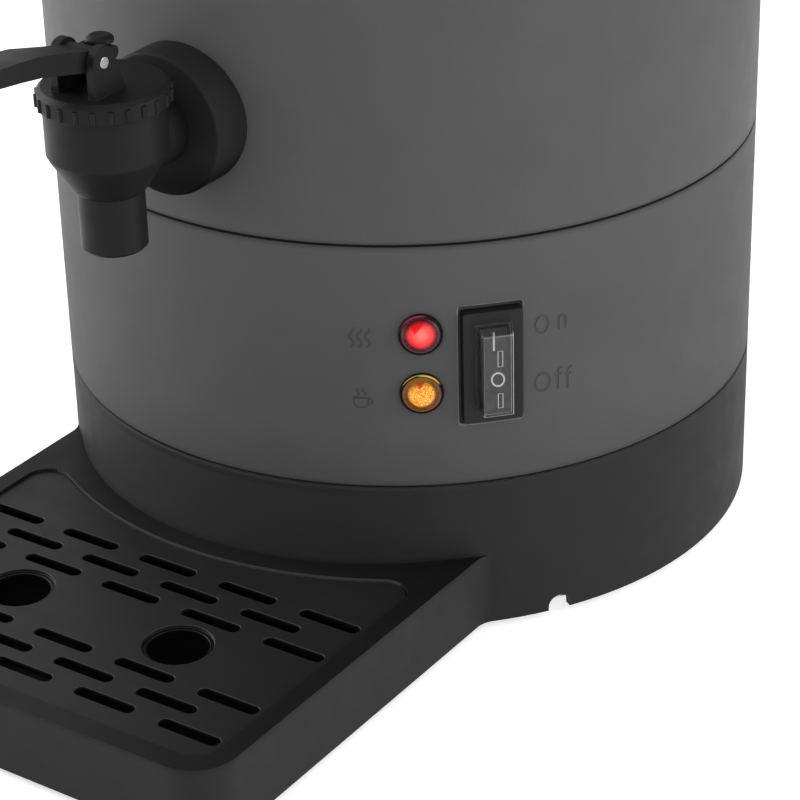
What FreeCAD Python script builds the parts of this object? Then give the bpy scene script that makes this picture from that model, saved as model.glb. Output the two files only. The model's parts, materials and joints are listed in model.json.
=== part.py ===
import FreeCAD
import Part
import Sketcher
import math
import operator
import os
from FreeCAD import Placement, Rotation, Vector

# Hot water urn, in millimetres. Z is the drum's axis, the floor is z = 0 and the tap faces -Y.
# Each driving size is a cell of the sheet, and every other size is a formula on those cells.

SIZES = {
    # Drum, from the floor up
    "drum_radius": 130.0,
    "foot_lift": 2.5,
    "skirt_height": 57.3,
    "skirt_wall": 3.0,
    "seam_gap": 1.2,
    "seam_depth": 1.5,
    "band_height": 91.4,
    "band_wall": 2.5,
    "upper_gap": 1.0,
    "lip_height": 8.0,
    "sheet": 0.8,
    "sheet_play": 0.3,
    "barrel_height": 270.0,
    # Drip tray bay, moulded with the skirt
    "bay_half_width": 91.75,
    "bay_top": 30.0,
    "bay_reach": 122.0,
    "bay_corner": 16.0,
    "bay_wall": 2.5,
    "bay_blend": 9.0,
    "front_flare": 4.6,
    "flare_shift": 17.0,
    "flare_start": 3.0,
    "well_side_inset": 7.5,
    "well_rear_gap": 12.2,
    "well_front_inset": 8.0,
    "well_corner": 9.0,
    "well_floor": 7.0,
    # Notches in the skirt's lower edge
    "notch_width": 8.4,
    "notch_height": 5.6,
    "notch_angle": 57.6,
    # Base plate, its screws and the foot ring
    "plate_level": 5.0,
    "plate_sheet": 1.2,
    "plate_play": 0.4,
    "boss_radius": 5.0,
    "boss_height": 30.0,
    "boss_inset": 7.5,
    "screw_radius": 1.9,
    "screw_head_radius": 3.6,
    "screw_head_height": 2.0,
    "screw_length": 14.0,
    "hole_play": 0.2,
    "foot_inset": 25.0,
    "foot_width": 14.0,
    "peg_radius": 2.9,
    "peg_head_radius": 4.4,
    "peg_head_height": 2.0,
    # Tank
    "jacket": 18.0,
    "tank_floor": 165.0,
    "tank_corner": 10.0,
    "tank_flange": 6.6,
    "rod_radius": 2.5,
    "rod_inset": 20.0,
    "nut_size": 8.0,
    "nut_height": 2.2,
    "spreader_inset": 32.0,
    "spreader_height": 5.0,
    "element_inset": 18.0,
    "element_radius": 4.2,
    "element_gap_angle": 40.0,
    "element_drop": 22.0,
    "element_bend": 9.0,
    # Top collar, lid and knob
    "collar_wall": 2.2,
    "collar_height": 16.0,
    "collar_top_wall": 4.0,
    "collar_shelf": 7.0,
    "lid_inset": 3.0,
    "lid_rim": 5.0,
    "lid_rise": 18.0,
    "lid_wall": 2.5,
    "plug_play": 3.7,
    "plug_depth": 9.0,
    "plug_wall": 2.5,
    "seal_width": 4.0,
    "seal_height": 2.4,
    "knob_radius": 21.0,
    "knob_neck": 9.0,
    "knob_height": 26.0,
    "vent_circle": 60.0,
    "vent_radius": 2.0,
    # Handles
    "handle_level": 352.0,
    "handle_half": 42.0,
    "handle_reach": 37.0,
    "handle_bend": 18.0,
    "handle_depth": 15.0,
    "handle_width": 24.0,
    "handle_foot_radius": 14.0,
    "handle_foot_length": 6.0,
    # Switch
    "switch_angle": 46.7,
    "switch_level": 45.05,
    "recess_width": 22.2,
    "recess_height": 44.4,
    "recess_shift": 0.35,
    "recess_rise": 0.6,
    "recess_depth": 3.0,
    "recess_round": 1.1,
    "recess_edge": 0.8,
    "pad_margin": 3.5,
    "pad_wall": 2.5,
    "bezel_gap_side": 0.7,
    "bezel_gap_end": 1.45,
    "bezel_height": 4.5,
    "inlet_flange": 2.2,
    "case_side_wall": 1.55,
    "case_end_wall": 2.7,
    "switch_body_depth": 22.0,
    "rocker_width": 9.4,
    "rocker_length": 28.8,
    "rocker_play": 0.35,
    "rocker_pivot_depth": 3.2,
    "rocker_valley": 4.2,
    "rocker_rise": 2.0,
    "rocker_shoulder": 2.0,
    "rocker_undercut": 0.8,
    "rocker_belly": 6.0,
    "rocker_tilt": 8.0,
    "rocker_pin_radius": 1.2,
    "boot_side": 1.8,
    "boot_end": 2.3,
    "boot_taper_side": 1.4,
    "boot_taper_end": 1.7,
    "boot_height": 7.5,
    "boot_wall": 0.6,
    "blade_width": 6.3,
    "blade_thick": 0.8,
    "blade_length": 8.0,
    # Lamps
    "lamp_pitch": 24.39,
    "red_level": 59.0,
    "amber_level": 36.7,
    "lamp_radius": 7.55,
    "lamp_rim": 0.8,
    "lamp_rim_height": 1.4,
    "lamp_body_radius": 5.9,
    "lamp_body_depth": 20.0,
    "lens_rise": 2.6,
    "lamp_nut_wall": 1.6,
    "lamp_nut_height": 3.0,
    # Power inlet
    "inlet_level": 42.0,
    "inlet_width": 24.0,
    "inlet_height": 50.0,
    "inlet_screw_gap": 40.0,
    "inlet_side_wall": 2.25,
    "inlet_end_wall": 1.75,
    "inlet_back_wall": 1.8,
    "socket_width": 16.5,
    "socket_height": 24.5,
    "socket_depth": 16.0,
    "socket_chamfer": 4.0,
    "pin_width": 4.0,
    "pin_thick": 2.0,
    "pin_spread": 7.0,
    "earth_offset": 4.0,
    # Tap
    "tap_level": 191.5,
    "tap_boss_radius": 24.8,
    "tap_boss_reach": 13.0,
    "tap_boss_round": 1.2,
    "tap_reach": 39.0,
    "shank_radius": 8.0,
    "shank_bore": 5.0,
    "shank_inside": 16.0,
    "neck_radius": 12.5,
    "chamber_radius": 20.0,
    "chamber_top": 21.0,
    "chamber_bore": 14.0,
    "chamber_cone": 11.0,
    "seat_drop": 6.0,
    "spout_radius": 11.0,
    "spout_bore": 6.5,
    "spout_drop": 33.0,
    "bonnet_proud": 1.5,
    "bonnet_skirt": 7.0,
    "bonnet_wall": 2.7,
    "bonnet_top": 3.0,
    "stem_radius": 3.2,
    "stem_play": 0.08,
    "head_play": 0.1,
    "pivot_rise": 14.0,
    "head_side_play": 1.4,
    "ear_wall": 3.2,
    "ear_radius": 5.5,
    "lever_pin_radius": 2.0,
    "pin_play": 0.06,
    "lever_hub": 4.3,
    "lever_play": 0.3,
    "fork_radius": 2.2,
    "fork_play": 0.3,
    "head_radius": 4.6,
    "head_height": 2.4,
    "lever_length": 58.0,
    "lever_rise": 9.0,
    "lever_thick": 7.0,
    "lever_width": 17.0,
    "cup_radius": 9.5,
    "cup_height": 7.0,
    "spring_radius": 5.6,
    "spring_wire": 0.6,
    "spring_turns": 5.0,
    "tap_washer": 2.4,
    "tap_washer_radius": 14.0,
    "tap_nut_wall": 4.0,
    "tap_nut_height": 7.0,
    # Drip tray and grille
    "tray_play": 0.6,
    "tray_wall": 2.0,
    "tray_floor": 2.0,
    "grille_drop": 1.0,
    "grille_play": 0.5,
    "grille_thick": 2.5,
    "rib_inset": 1.0,
    "rib_wall": 1.6,
    "rib_depth": 3.0,
    "slot_length": 24.4,
    "slot_width": 5.0,
    "slot_edge": 1.95,
    "row_pitch": 10.4,
    "hole_spread": 34.8,
    "hole_radius": 12.4,
    "hole_step": 1.6,
    "hole_step_depth": 1.0,
    "row_offset": 18.1,
    # Thermostats and wiring blocks
    "disc_radius": 11.5,
    "disc_height": 7.0,
    "disc_circle": 34.0,
    "block_length": 42.0,
    "block_width": 18.0,
    "block_height": 15.0,
    "block_circle": 50.0,
    "reset_circle": 58.0,
    "reset_body": 9.0,
    "reset_body_height": 16.0,
    "reset_radius": 3.0,
    "reset_play": 0.3,
    "reset_length": 7.0,
    "reset_sunk": 1.0,
}

doc = FreeCAD.newDocument("urn")
sheet = doc.addObject("Spreadsheet::Sheet", "Sizes")


class Size:
    """A length or angle, with the formula that ties it to the sheet."""

    def __init__(self, value, text):
        self.value = value
        self.text = text

    def __add__(self, other):
        return joined(self, operator.add, "+", other)

    def __radd__(self, other):
        return joined(other, operator.add, "+", self)

    def __sub__(self, other):
        return joined(self, operator.sub, "-", other)

    def __rsub__(self, other):
        return joined(other, operator.sub, "-", self)

    def __mul__(self, other):
        return joined(self, operator.mul, "*", other)

    def __rmul__(self, other):
        return joined(other, operator.mul, "*", self)

    def __truediv__(self, other):
        return joined(self, operator.truediv, "/", other)

    def __neg__(self):
        return joined(0, operator.sub, "-", self)


def as_size(number):
    return number if isinstance(number, Size) else Size(float(number), repr(float(number)))


def joined(left, work, sign, right):
    left = as_size(left)
    right = as_size(right)
    return Size(work(left.value, right.value), f"({left.text} {sign} {right.text})")


def root(size):
    return Size(math.sqrt(size.value), f"sqrt({size.text})")


def sine(angle):
    angle = as_size(angle)
    return Size(math.sin(math.radians(angle.value)), f"sin({angle.text})")


def cosine(angle):
    angle = as_size(angle)
    return Size(math.cos(math.radians(angle.value)), f"cos({angle.text})")


def leg(long_side, short_side):
    """The third side of a right triangle, such as a circle's depth at a given half width."""
    return root(long_side * long_side - short_side * short_side)


class Cells:
    """The sheet's cells by name, as bound sizes."""

    def __init__(self, table):
        for row, (name, value) in enumerate(table.items(), start=1):
            cell = f"A{row}"
            sheet.set(cell, str(value))
            sheet.setAlias(cell, name)
            setattr(self, name, Size(float(value), f"Sizes.{name}"))


s = Cells(SIZES)
doc.recompute()

# Levels and depths that several pieces share
seam_level = s.foot_lift + s.skirt_height
upper_seam = seam_level + s.band_height
skirt_top = seam_level - s.seam_gap / 2
band_bottom = seam_level + s.seam_gap / 2
band_top = upper_seam - s.upper_gap / 2
barrel_bottom = upper_seam + s.upper_gap / 2
barrel_top = barrel_bottom + s.barrel_height
barrel_inside = s.drum_radius - s.sheet
bay_front = s.drum_radius + s.bay_reach
well_half_width = s.bay_half_width - s.well_side_inset
well_rear_radius = s.drum_radius + s.well_rear_gap
well_front = bay_front - s.well_front_inset
foot_radius = s.drum_radius - s.foot_inset
collar_top = barrel_top + s.collar_top_wall
tank_radius = s.drum_radius - s.jacket
tank_inside = tank_radius - s.sheet
rod_circle = tank_radius - s.rod_inset
spreader_radius = tank_radius - s.spreader_inset
element_circle = spreader_radius - s.element_inset
plug_radius = tank_inside - s.plug_play
plate_top = s.plate_level + s.plate_sheet
tray_bottom = s.well_floor
grille_top = s.bay_top - s.grille_drop
grille_bottom = grille_top - s.grille_thick
switch_floor = s.drum_radius - s.recess_depth
switch_height = seam_level + s.switch_level
spreader_bottom = s.tank_floor - s.spreader_height
tap_axis = s.drum_radius + s.tap_reach
bonnet_radius = s.chamber_radius + s.bonnet_proud
pivot_offset = s.head_radius + s.lever_hub + s.head_play
ear_inner = s.head_radius + s.head_side_play
cavity_width = s.rocker_width + s.rocker_play * 2
cavity_length = s.rocker_length + s.rocker_play * 4
case_width = cavity_width + s.case_side_wall * 2
case_length = cavity_length + s.case_end_wall * 2
lamp_angle = s.switch_angle - s.lamp_pitch / s.drum_radius * math.degrees(1)
inlet_body_width = s.socket_width + s.inlet_side_wall * 2
inlet_body_height = s.socket_height + s.inlet_end_wall * 2
grille_middle = (well_rear_radius + well_front) / 2
slot_pitch = (well_half_width - s.grille_play - s.slot_edge - s.slot_length / 2) / 2

FORWARD = Rotation(Vector(1, 0, 0), 90)
SIDEWAYS = Rotation(Vector(0, 1, 0), 90)
UP = Vector(0, 0, 1)
parts = {}


def keep(thing, label):
    """Gives a sub-part its name, which is also its file's name."""
    thing.Label = label
    parts[label] = thing
    return thing


def bind(thing, **sizes):
    """Ties properties to the sheet; an underscore in a name stands for a dot."""
    for name, size in sizes.items():
        thing.setExpression(name.replace("_", "."), as_size(size).text)


def place(thing, x=0, y=0, z=0, rotation=None):
    if rotation is not None:
        thing.Placement = Placement(Vector(0, 0, 0), rotation)
    bind(thing, Placement_Base_x=x, Placement_Base_y=y, Placement_Base_z=z)
    return thing


def spin(thing, angle):
    """Turns a piece that was drawn at the front to its bearing round the drum."""
    thing.Placement = Placement(Vector(0, 0, 0), Rotation(UP, as_size(angle).value))
    bind(thing, Placement_Rotation_Angle=angle)
    return thing


# Part primitives


def cylinder(radius, height, x=0, y=0, z=0, rotation=None):
    rod = doc.addObject("Part::Cylinder", "Cylinder")
    bind(rod, Radius=radius, Height=height)
    return place(rod, x, y, z, rotation)


def block(length, width, height, x=0, y=0, z=0):
    """A box centred on x and y that stands on z."""
    box = doc.addObject("Part::Box", "Box")
    bind(box, Length=length, Width=width, Height=height)
    return place(box, x - as_size(length) / 2, y - as_size(width) / 2, z)


def hexagon(size, height, x=0, y=0, z=0, rotation=None):
    prism = doc.addObject("Part::Prism", "Prism")
    prism.Polygon = 6
    bind(prism, Circumradius=size / math.sqrt(3), Height=height)
    return place(prism, x, y, z, rotation)


def cut(base, *tools):
    for tool in tools:
        result = doc.addObject("Part::Cut", "Cut")
        result.Base = base
        result.Tool = tool
        base = result
    return base


def fuse(*things):
    result = doc.addObject("Part::MultiFuse", "Fuse")
    result.Shapes = list(things)
    return result


def group(*things):
    """Separate solids kept together as one sub-part."""
    result = doc.addObject("Part::Compound", "Group")
    result.Links = list(things)
    return result


# Bodies and sketches


def new_body(label):
    return keep(doc.addObject("PartDesign::Body", label), label)


def new_sketch(body, plane="XY_Plane", lift=0, bearing=None, tilt=None):
    """A sketch on one of the body's own planes, lifted off it and turned round the drum or tilted."""
    sketch = body.newObject("Sketcher::SketchObject", "Sketch")
    support = next(item for item in body.Origin.OriginFeatures if item.Role == plane)
    sketch.AttachmentSupport = [(support, "")]
    sketch.MapMode = "FlatFace"
    lift = as_size(lift)
    if bearing is not None:
        bearing = as_size(bearing)
        turn = Rotation(Vector(0, 1, 0), bearing.value)
        sketch.AttachmentOffset = Placement(Vector(0, 0, 0), turn)
        bind(sketch, AttachmentOffset_Rotation_Angle=bearing)
        bind(sketch, AttachmentOffset_Base_x=lift * sine(bearing))
        bind(sketch, AttachmentOffset_Base_z=lift * cosine(bearing))
        return sketch
    if tilt is not None:
        tilt = as_size(tilt)
        sketch.AttachmentOffset = Placement(Vector(0, 0, 0), Rotation(UP, tilt.value))
        bind(sketch, AttachmentOffset_Rotation_Angle=tilt)
    bind(sketch, AttachmentOffset_Base_z=lift)
    return sketch


def pin_point(sketch, line, end, x, y):
    """Ties a point of the sketch to its place."""
    for kind, size in (("DistanceX", as_size(x)), ("DistanceY", as_size(y))):
        number = sketch.addConstraint(Sketcher.Constraint(kind, -1, 1, line, end, size.value))
        sketch.setExpression(f"Constraints[{number}]", size.text)


def pin_radius(sketch, line, radius):
    radius = as_size(radius)
    number = sketch.addConstraint(Sketcher.Constraint("Radius", line, radius.value))
    sketch.setExpression(f"Constraints[{number}]", radius.text)


def arc_geometry(start, end, centre, radius):
    middle = (start + end) / 2 - centre
    return Part.Arc(start, centre + middle.normalize() * radius, end)


def outline(sketch, corners):
    """A closed outline. A corner is (x, y), or (x, y, radius, centre x, centre y) before an arc."""
    spots = [Vector(as_size(c[0]).value, as_size(c[1]).value, 0) for c in corners]
    ends = []
    for i, corner in enumerate(corners):
        start = spots[i]
        end = spots[(i + 1) % len(spots)]
        if len(corner) == 2:
            line = sketch.addGeometry(Part.LineSegment(start, end))
            ends.append((line, 1, 2))
            continue
        radius, *middle = (as_size(value).value for value in corner[2:])
        line = sketch.addGeometry(arc_geometry(start, end, Vector(*middle, 0), radius))
        swapped = sketch.getPoint(line, 1).distanceToPoint(start) > 1e-6
        ends.append((line, 2, 1) if swapped else (line, 1, 2))
    for i, (line, start, end) in enumerate(ends):
        after, after_start, _ = ends[(i + 1) % len(ends)]
        sketch.addConstraint(Sketcher.Constraint("Coincident", line, end, after, after_start))
    for corner, (line, start, end) in zip(corners, ends):
        pin_point(sketch, line, start, corner[0], corner[1])
        if len(corner) > 2:
            pin_radius(sketch, line, corner[2])
    return sketch


def circle(sketch, radius, x=0, y=0):
    middle = Vector(as_size(x).value, as_size(y).value, 0)
    line = sketch.addGeometry(Part.Circle(middle, Vector(0, 0, 1), as_size(radius).value))
    pin_point(sketch, line, 3, x, y)
    pin_radius(sketch, line, radius)
    return sketch


def rectangle(width, height, x=0, y=0, corner=None):
    """Corners of a rectangle about (x, y), rounded where a corner radius is given."""
    right = x + as_size(width) / 2
    left = x - as_size(width) / 2
    top = y + as_size(height) / 2
    bottom = y - as_size(height) / 2
    if corner is None:
        return [(left, bottom), (right, bottom), (right, top), (left, top)]
    return [
        (left + corner, bottom),
        (right - corner, bottom, corner, right - corner, bottom + corner),
        (right, bottom + corner),
        (right, top - corner, corner, right - corner, top - corner),
        (right - corner, top),
        (left + corner, top, corner, left + corner, top - corner),
        (left, top - corner),
        (left, bottom + corner, corner, left + corner, bottom + corner),
    ]


def slot(length, width, x, y):
    """Corners of a slot with round ends, along X."""
    end = width / 2
    right = x + length / 2 - end
    left = x - length / 2 + end
    return [
        (left, y - end),
        (right, y - end, end, right, y),
        (right + end, y, end, right, y),
        (right, y + end),
        (left, y + end, end, left, y),
        (left - end, y, end, left, y),
    ]


def volume(body):
    doc.recompute()
    return body.Tip.Shape.Volume if body.Tip else 0.0


def feature(body, kind, sketch, **settings):
    """Adds a feature, and stops the build if it changes nothing."""
    before = volume(body)
    result = body.newObject("PartDesign::" + kind, kind)
    result.Profile = sketch
    for name, value in settings.items():
        if isinstance(value, Size):
            bind(result, **{name: value})
        else:
            setattr(result, name, value)
    if abs(volume(body) - before) < 1e-3:
        raise RuntimeError(f"{kind} changes nothing in {body.Label}")
    return result


def pad(body, sketch, length, away=False):
    return feature(body, "Pad", sketch, Length=length, Reversed=away)


def pocket(body, sketch, length, away=False):
    return feature(body, "Pocket", sketch, Length=length, Reversed=away)


def turned(body, corners, kind="Revolution", plane="XZ_Plane"):
    """Turns a half profile, given as (radius, height), about the body's own Z axis."""
    sketch = outline(new_sketch(body, plane), corners)
    return feature(body, kind, sketch, ReferenceAxis=(sketch, ["V_Axis"]))


def repeated(body, source, count):
    """Repeats a feature evenly round the body's Z axis."""
    pattern = body.newObject("PartDesign::PolarPattern", "PolarPattern")
    pattern.Originals = [source]
    axis = next(item for item in body.Origin.OriginFeatures if item.Role == "Z_Axis")
    pattern.Axis = (axis, [""])
    pattern.Occurrences = count
    body.Tip = pattern
    doc.recompute()
    return pattern


def in_row(body, source, pitch, count):
    """Repeats a feature along X."""
    pattern = body.newObject("PartDesign::LinearPattern", "LinearPattern")
    pattern.Originals = [source]
    axis = next(item for item in body.Origin.OriginFeatures if item.Role == "X_Axis")
    pattern.Direction = (axis, [""])
    bind(pattern, Length=pitch * (count - 1))
    pattern.Occurrences = count
    body.Tip = pattern
    doc.recompute()
    return pattern


def soften(body, radius, wanted, kind="Fillet"):
    """Rounds or bevels the edges that a test picks."""
    doc.recompute()
    base = body.Tip
    names = [f"Edge{i}" for i, edge in enumerate(base.Shape.Edges, start=1) if wanted(edge)]
    if not names:
        raise RuntimeError(f"no edge to soften in {body.Label}")
    result = body.newObject("PartDesign::" + kind, kind)
    result.Base = (base, names)
    bind(result, **{"Radius" if kind == "Fillet" else "Size": radius})
    doc.recompute()
    return result


def near(number, size, slack=0.01):
    return abs(number - as_size(size).value) < slack


def rim_edge(radius, level):
    """Tests for a round edge about the Z axis."""

    def wanted(edge):
        box = edge.BoundBox
        point = edge.valueAt(edge.FirstParameter)
        on_rim = near(math.hypot(point.x, point.y), radius)
        return on_rim and near(box.ZMin, level) and near(box.ZMax, level)

    return wanted


# Housing


def bay_outline(inset, rear):
    """Plan of the drip tray bay, set in from its outer face, up to a rear arc about the drum's axis."""
    half = s.bay_half_width - inset
    front = -(bay_front - inset)
    corner = s.bay_corner - inset
    join = -leg(rear, half)
    return [
        (-half, join),
        (-half, front + corner, corner, -half + corner, front + corner),
        (-half + corner, front),
        (half - corner, front, corner, half - corner, front + corner),
        (half, front + corner),
        (half, join, rear, 0, 0),
    ]


def well_outline(inset):
    """Plan of the tray's well, set in from its wall, with rounded corners."""
    half = well_half_width - inset
    rear = well_rear_radius + inset
    front = -(well_front - inset)
    corner = s.well_corner - inset
    middle_x = half - corner
    middle_y = -leg(rear + corner, middle_x)
    share = rear / (rear + corner)
    return [
        (-half, middle_y),
        (-half, front + corner, corner, -middle_x, front + corner),
        (-middle_x, front),
        (middle_x, front, corner, middle_x, front + corner),
        (half, front + corner),
        (half, middle_y, corner, middle_x, middle_y),
        (middle_x * share, middle_y * share, rear, 0, 0),
        (-middle_x * share, middle_y * share, corner, -middle_x, middle_y),
    ]


def base_skirt():
    body = new_body("base_skirt")
    rim = s.drum_radius
    inner = rim - s.skirt_wall
    root_radius = rim - s.skirt_wall / 2
    half = s.bay_half_width
    # Slight flare of the front, from below the seam down to the bay's ledge
    upper = circle(new_sketch(body, lift=skirt_top - s.flare_start), rim)
    lower = new_sketch(body, lift=s.bay_top)
    circle(lower, rim + s.front_flare - s.flare_shift, 0, -s.flare_shift)
    feature(body, "AdditiveLoft", lower, Sections=[upper])
    pocket(body, circle(new_sketch(body, lift=skirt_top), root_radius), s.skirt_height * 2)
    # Wall with the inner lip that the control band stands on
    turned(body, [
        (inner, s.foot_lift),
        (rim, s.foot_lift),
        (rim, skirt_top),
        (rim - s.seam_depth, skirt_top),
        (rim - s.seam_depth, band_bottom),
        (inner, band_bottom),
    ])
    # Bay with its well, hollow from below
    bay = outline(new_sketch(body, lift=s.foot_lift), bay_outline(0, root_radius))
    pad(body, bay, s.bay_top - s.foot_lift)
    well = outline(new_sketch(body, lift=s.bay_top), well_outline(0))
    pocket(body, well, s.bay_top - s.well_floor)
    under = new_sketch(body, lift=s.foot_lift)
    outline(under, bay_outline(s.bay_wall, rim))
    pocket(body, under, s.well_floor - s.bay_wall - s.foot_lift, away=True)
    channel = new_sketch(body, lift=s.foot_lift)
    outline(channel, bay_outline(s.bay_wall, rim))
    outline(channel, well_outline(-s.bay_wall))
    pocket(body, channel, s.bay_top - s.bay_wall - s.foot_lift, away=True)
    # Blend between the bay's side walls and the drum
    round_off = s.bay_blend
    middle_x = half + round_off
    middle_y = -leg(rim + round_off, middle_x)
    share = rim / (rim + round_off)
    for side in (1, -1):
        sketch = outline(new_sketch(body, lift=s.foot_lift), [
            (side * (half - s.bay_wall / 2), middle_y),
            (side * half, middle_y, round_off, side * middle_x, middle_y),
            (side * middle_x * share, middle_y * share),
            (side * middle_x * share - side * s.skirt_wall / 2, middle_y * share),
            (side * (half - s.bay_wall / 2), -leg(rim - 0.5, half - s.bay_wall / 2)),
        ])
        pad(body, sketch, s.bay_top - s.foot_lift)
    soften(body, s.seam_gap * 0.8, rim_edge(rim, skirt_top))
    # Notches in the lower edge, on the parts of the wall that the bay leaves free
    width = s.notch_width / 2
    spring_line = s.foot_lift + s.notch_height - width
    for bearing in (s.notch_angle, 180 - s.notch_angle, 180 + s.notch_angle, 360 - s.notch_angle):
        sketch = outline(new_sketch(body, "XZ_Plane", inner - s.skirt_wall, bearing), [
            (-width, s.foot_lift - 1),
            (width, s.foot_lift - 1),
            (width, spring_line, width, 0, spring_line),
            (0, spring_line + width, width, 0, spring_line),
            (-width, spring_line),
        ])
        pocket(body, sketch, s.skirt_wall * 3, away=True)
    # Screw bosses under the band, each with its pilot hole
    boss_x = rim - s.boss_inset
    boss = pad(body, circle(new_sketch(body, lift=plate_top), s.boss_radius, boss_x), s.boss_height)
    repeated(body, boss, 4)
    pilot_depth = s.screw_length - s.plate_sheet + 1
    pilot = circle(new_sketch(body, lift=plate_top), s.screw_radius, boss_x)
    repeated(body, pocket(body, pilot, pilot_depth, away=True), 4)
    return body


def base_plate():
    body = new_body("base_plate")
    plate = circle(new_sketch(body, lift=s.plate_level), s.drum_radius - s.skirt_wall - s.plate_play)
    pad(body, plate, s.plate_sheet)
    holes = (
        (s.screw_radius + s.hole_play, s.drum_radius - s.boss_inset, 0, 4),
        (s.rod_radius + s.hole_play, rod_circle * cosine(30), rod_circle * sine(30), 3),
        (s.peg_radius + s.hole_play, foot_radius * cosine(45), foot_radius * sine(45), 4),
    )
    for radius, x, y, count in holes:
        hole = circle(new_sketch(body, lift=plate_top), radius, x, y)
        repeated(body, pocket(body, hole, s.plate_sheet * 2), count)
    reset_hole = circle(new_sketch(body, lift=plate_top), s.reset_radius + s.reset_play, 0, s.reset_circle)
    pocket(body, reset_hole, s.plate_sheet * 2)
    vent = outline(new_sketch(body, lift=plate_top), slot(s.slot_length, s.slot_width, 0, -s.reset_circle))
    repeated(body, pocket(body, vent, s.plate_sheet * 2), 3)
    return body


def base_screws():
    screws = []
    for turn in range(4):
        x = (s.drum_radius - s.boss_inset) * round(math.cos(math.pi / 2 * turn))
        y = (s.drum_radius - s.boss_inset) * round(math.sin(math.pi / 2 * turn))
        shank = cylinder(s.screw_radius, s.screw_length, x, y, s.plate_level)
        head = cylinder(s.screw_head_radius, s.screw_head_height, x, y, s.plate_level - s.screw_head_height)
        screws.append(fuse(shank, head))
    return keep(group(*screws), "base_screws")


def foot_ring():
    body = new_body("foot_ring")
    half = s.foot_width / 2
    bevel = s.foot_width / 7
    turned(body, [
        (foot_radius - half + bevel, 0),
        (foot_radius + half - bevel, 0),
        (foot_radius + half, bevel),
        (foot_radius + half, s.plate_level),
        (foot_radius - half, s.plate_level),
        (foot_radius - half, bevel),
    ])
    x = foot_radius * cosine(45)
    y = foot_radius * sine(45)
    peg = pad(body, circle(new_sketch(body, lift=s.plate_level), s.peg_radius, x, y), s.plate_sheet)
    head = pad(body, circle(new_sketch(body, lift=plate_top), s.peg_head_radius, x, y), s.peg_head_height)
    repeated(body, peg, 4)
    repeated(body, head, 4)
    return body


def mounting_pad(body, bearing, level, width, height, x=0):
    """Flat inner pad with a flat-bottomed recess for a fitting that is set into the curved wall."""
    back = switch_floor - s.pad_wall
    backing = rectangle(width + s.pad_margin * 2, height + s.pad_margin * 2, x, level)
    sketch = outline(new_sketch(body, "XZ_Plane", back, bearing), backing)
    pad(body, sketch, s.pad_wall + s.recess_depth / 2)
    recess = rectangle(width, height, x, level, s.recess_round)
    sketch = outline(new_sketch(body, "XZ_Plane", switch_floor, bearing), recess)
    pocket(body, sketch, s.recess_depth * 2, away=True)
    soften(body, s.recess_edge, recess_rim(bearing, level, height))


def recess_rim(bearing, level, height):
    """Tests for the drum's edges round a recess."""
    low = (level - height / 2).value - 0.01
    high = (level + height / 2).value + 0.01

    def wanted(edge):
        ends = [edge.valueAt(edge.FirstParameter), edge.valueAt(edge.LastParameter)]
        forward = [end.x * sine(bearing).value - end.y * cosine(bearing).value for end in ends]
        on_drum = all(near(math.hypot(end.x, end.y), s.drum_radius) for end in ends)
        facing = min(forward) > s.drum_radius.value * 0.9
        return on_drum and facing and edge.BoundBox.ZMin > low and edge.BoundBox.ZMax < high

    return wanted


def through_pad(body, bearing, level, corners):
    sketch = outline(new_sketch(body, "XZ_Plane", switch_floor - s.pad_wall * 2, bearing), corners)
    pocket(body, sketch, s.pad_wall * 3, away=True)


def control_band():
    body = new_body("control_band")
    inner = s.drum_radius - s.band_wall
    lip = barrel_inside - s.sheet_play
    ledge = s.drum_radius - s.sheet / 2
    turned(body, [
        (inner, band_bottom),
        (s.drum_radius, band_bottom),
        (s.drum_radius, band_top),
        (ledge, band_top),
        (ledge, barrel_bottom),
        (lip, barrel_bottom),
        (lip, band_top + s.lip_height),
        (inner, band_top + s.lip_height),
    ])
    recess_level = switch_height + s.recess_rise
    mounting_pad(body, s.switch_angle, recess_level, s.recess_width, s.recess_height, -s.recess_shift)
    width = case_width + s.hole_play * 2
    length = case_length + s.hole_play * 2
    through_pad(body, s.switch_angle, switch_height, rectangle(width, length, 0, switch_height))
    inlet = seam_level + s.inlet_level
    recess_width = s.inlet_width + s.bezel_gap_side * 2
    recess_height = s.inlet_height + s.bezel_gap_end * 2
    mounting_pad(body, as_size(180), inlet, recess_width, recess_height)
    width = inlet_body_width + s.hole_play * 2
    length = inlet_body_height + s.hole_play * 2
    through_pad(body, as_size(180), inlet, rectangle(width, length, 0, inlet))
    for side in (1, -1):
        hole = new_sketch(body, "XZ_Plane", switch_floor - s.pad_wall * 2, as_size(180))
        circle(hole, s.screw_radius + s.hole_play, 0, inlet + side * s.inlet_screw_gap / 2)
        pocket(body, hole, s.pad_wall * 3, away=True)
    for level in (s.red_level, s.amber_level):
        hole = new_sketch(body, "XZ_Plane", inner - s.band_wall, lamp_angle)
        circle(hole, s.lamp_body_radius + s.hole_play / 2, 0, seam_level + level)
        pocket(body, hole, s.band_wall * 3, away=True)
    return body


def outer_barrel():
    body = new_body("outer_barrel")
    turned(body, [
        (barrel_inside, barrel_bottom),
        (s.drum_radius, barrel_bottom),
        (s.drum_radius, barrel_top),
        (barrel_inside, barrel_top),
    ])
    hole = new_sketch(body, "XZ_Plane", barrel_inside - s.band_wall * 4)
    circle(hole, s.shank_radius + s.hole_play, 0, s.tap_level)
    pocket(body, hole, s.band_wall * 8, away=True)
    for bearing in handle_bearings():
        hole = new_sketch(body, "XZ_Plane", barrel_inside - s.band_wall * 2, bearing)
        circle(hole, s.screw_radius + s.hole_play, 0, s.handle_level)
        pocket(body, hole, s.band_wall * 4, away=True)
    return body


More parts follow.
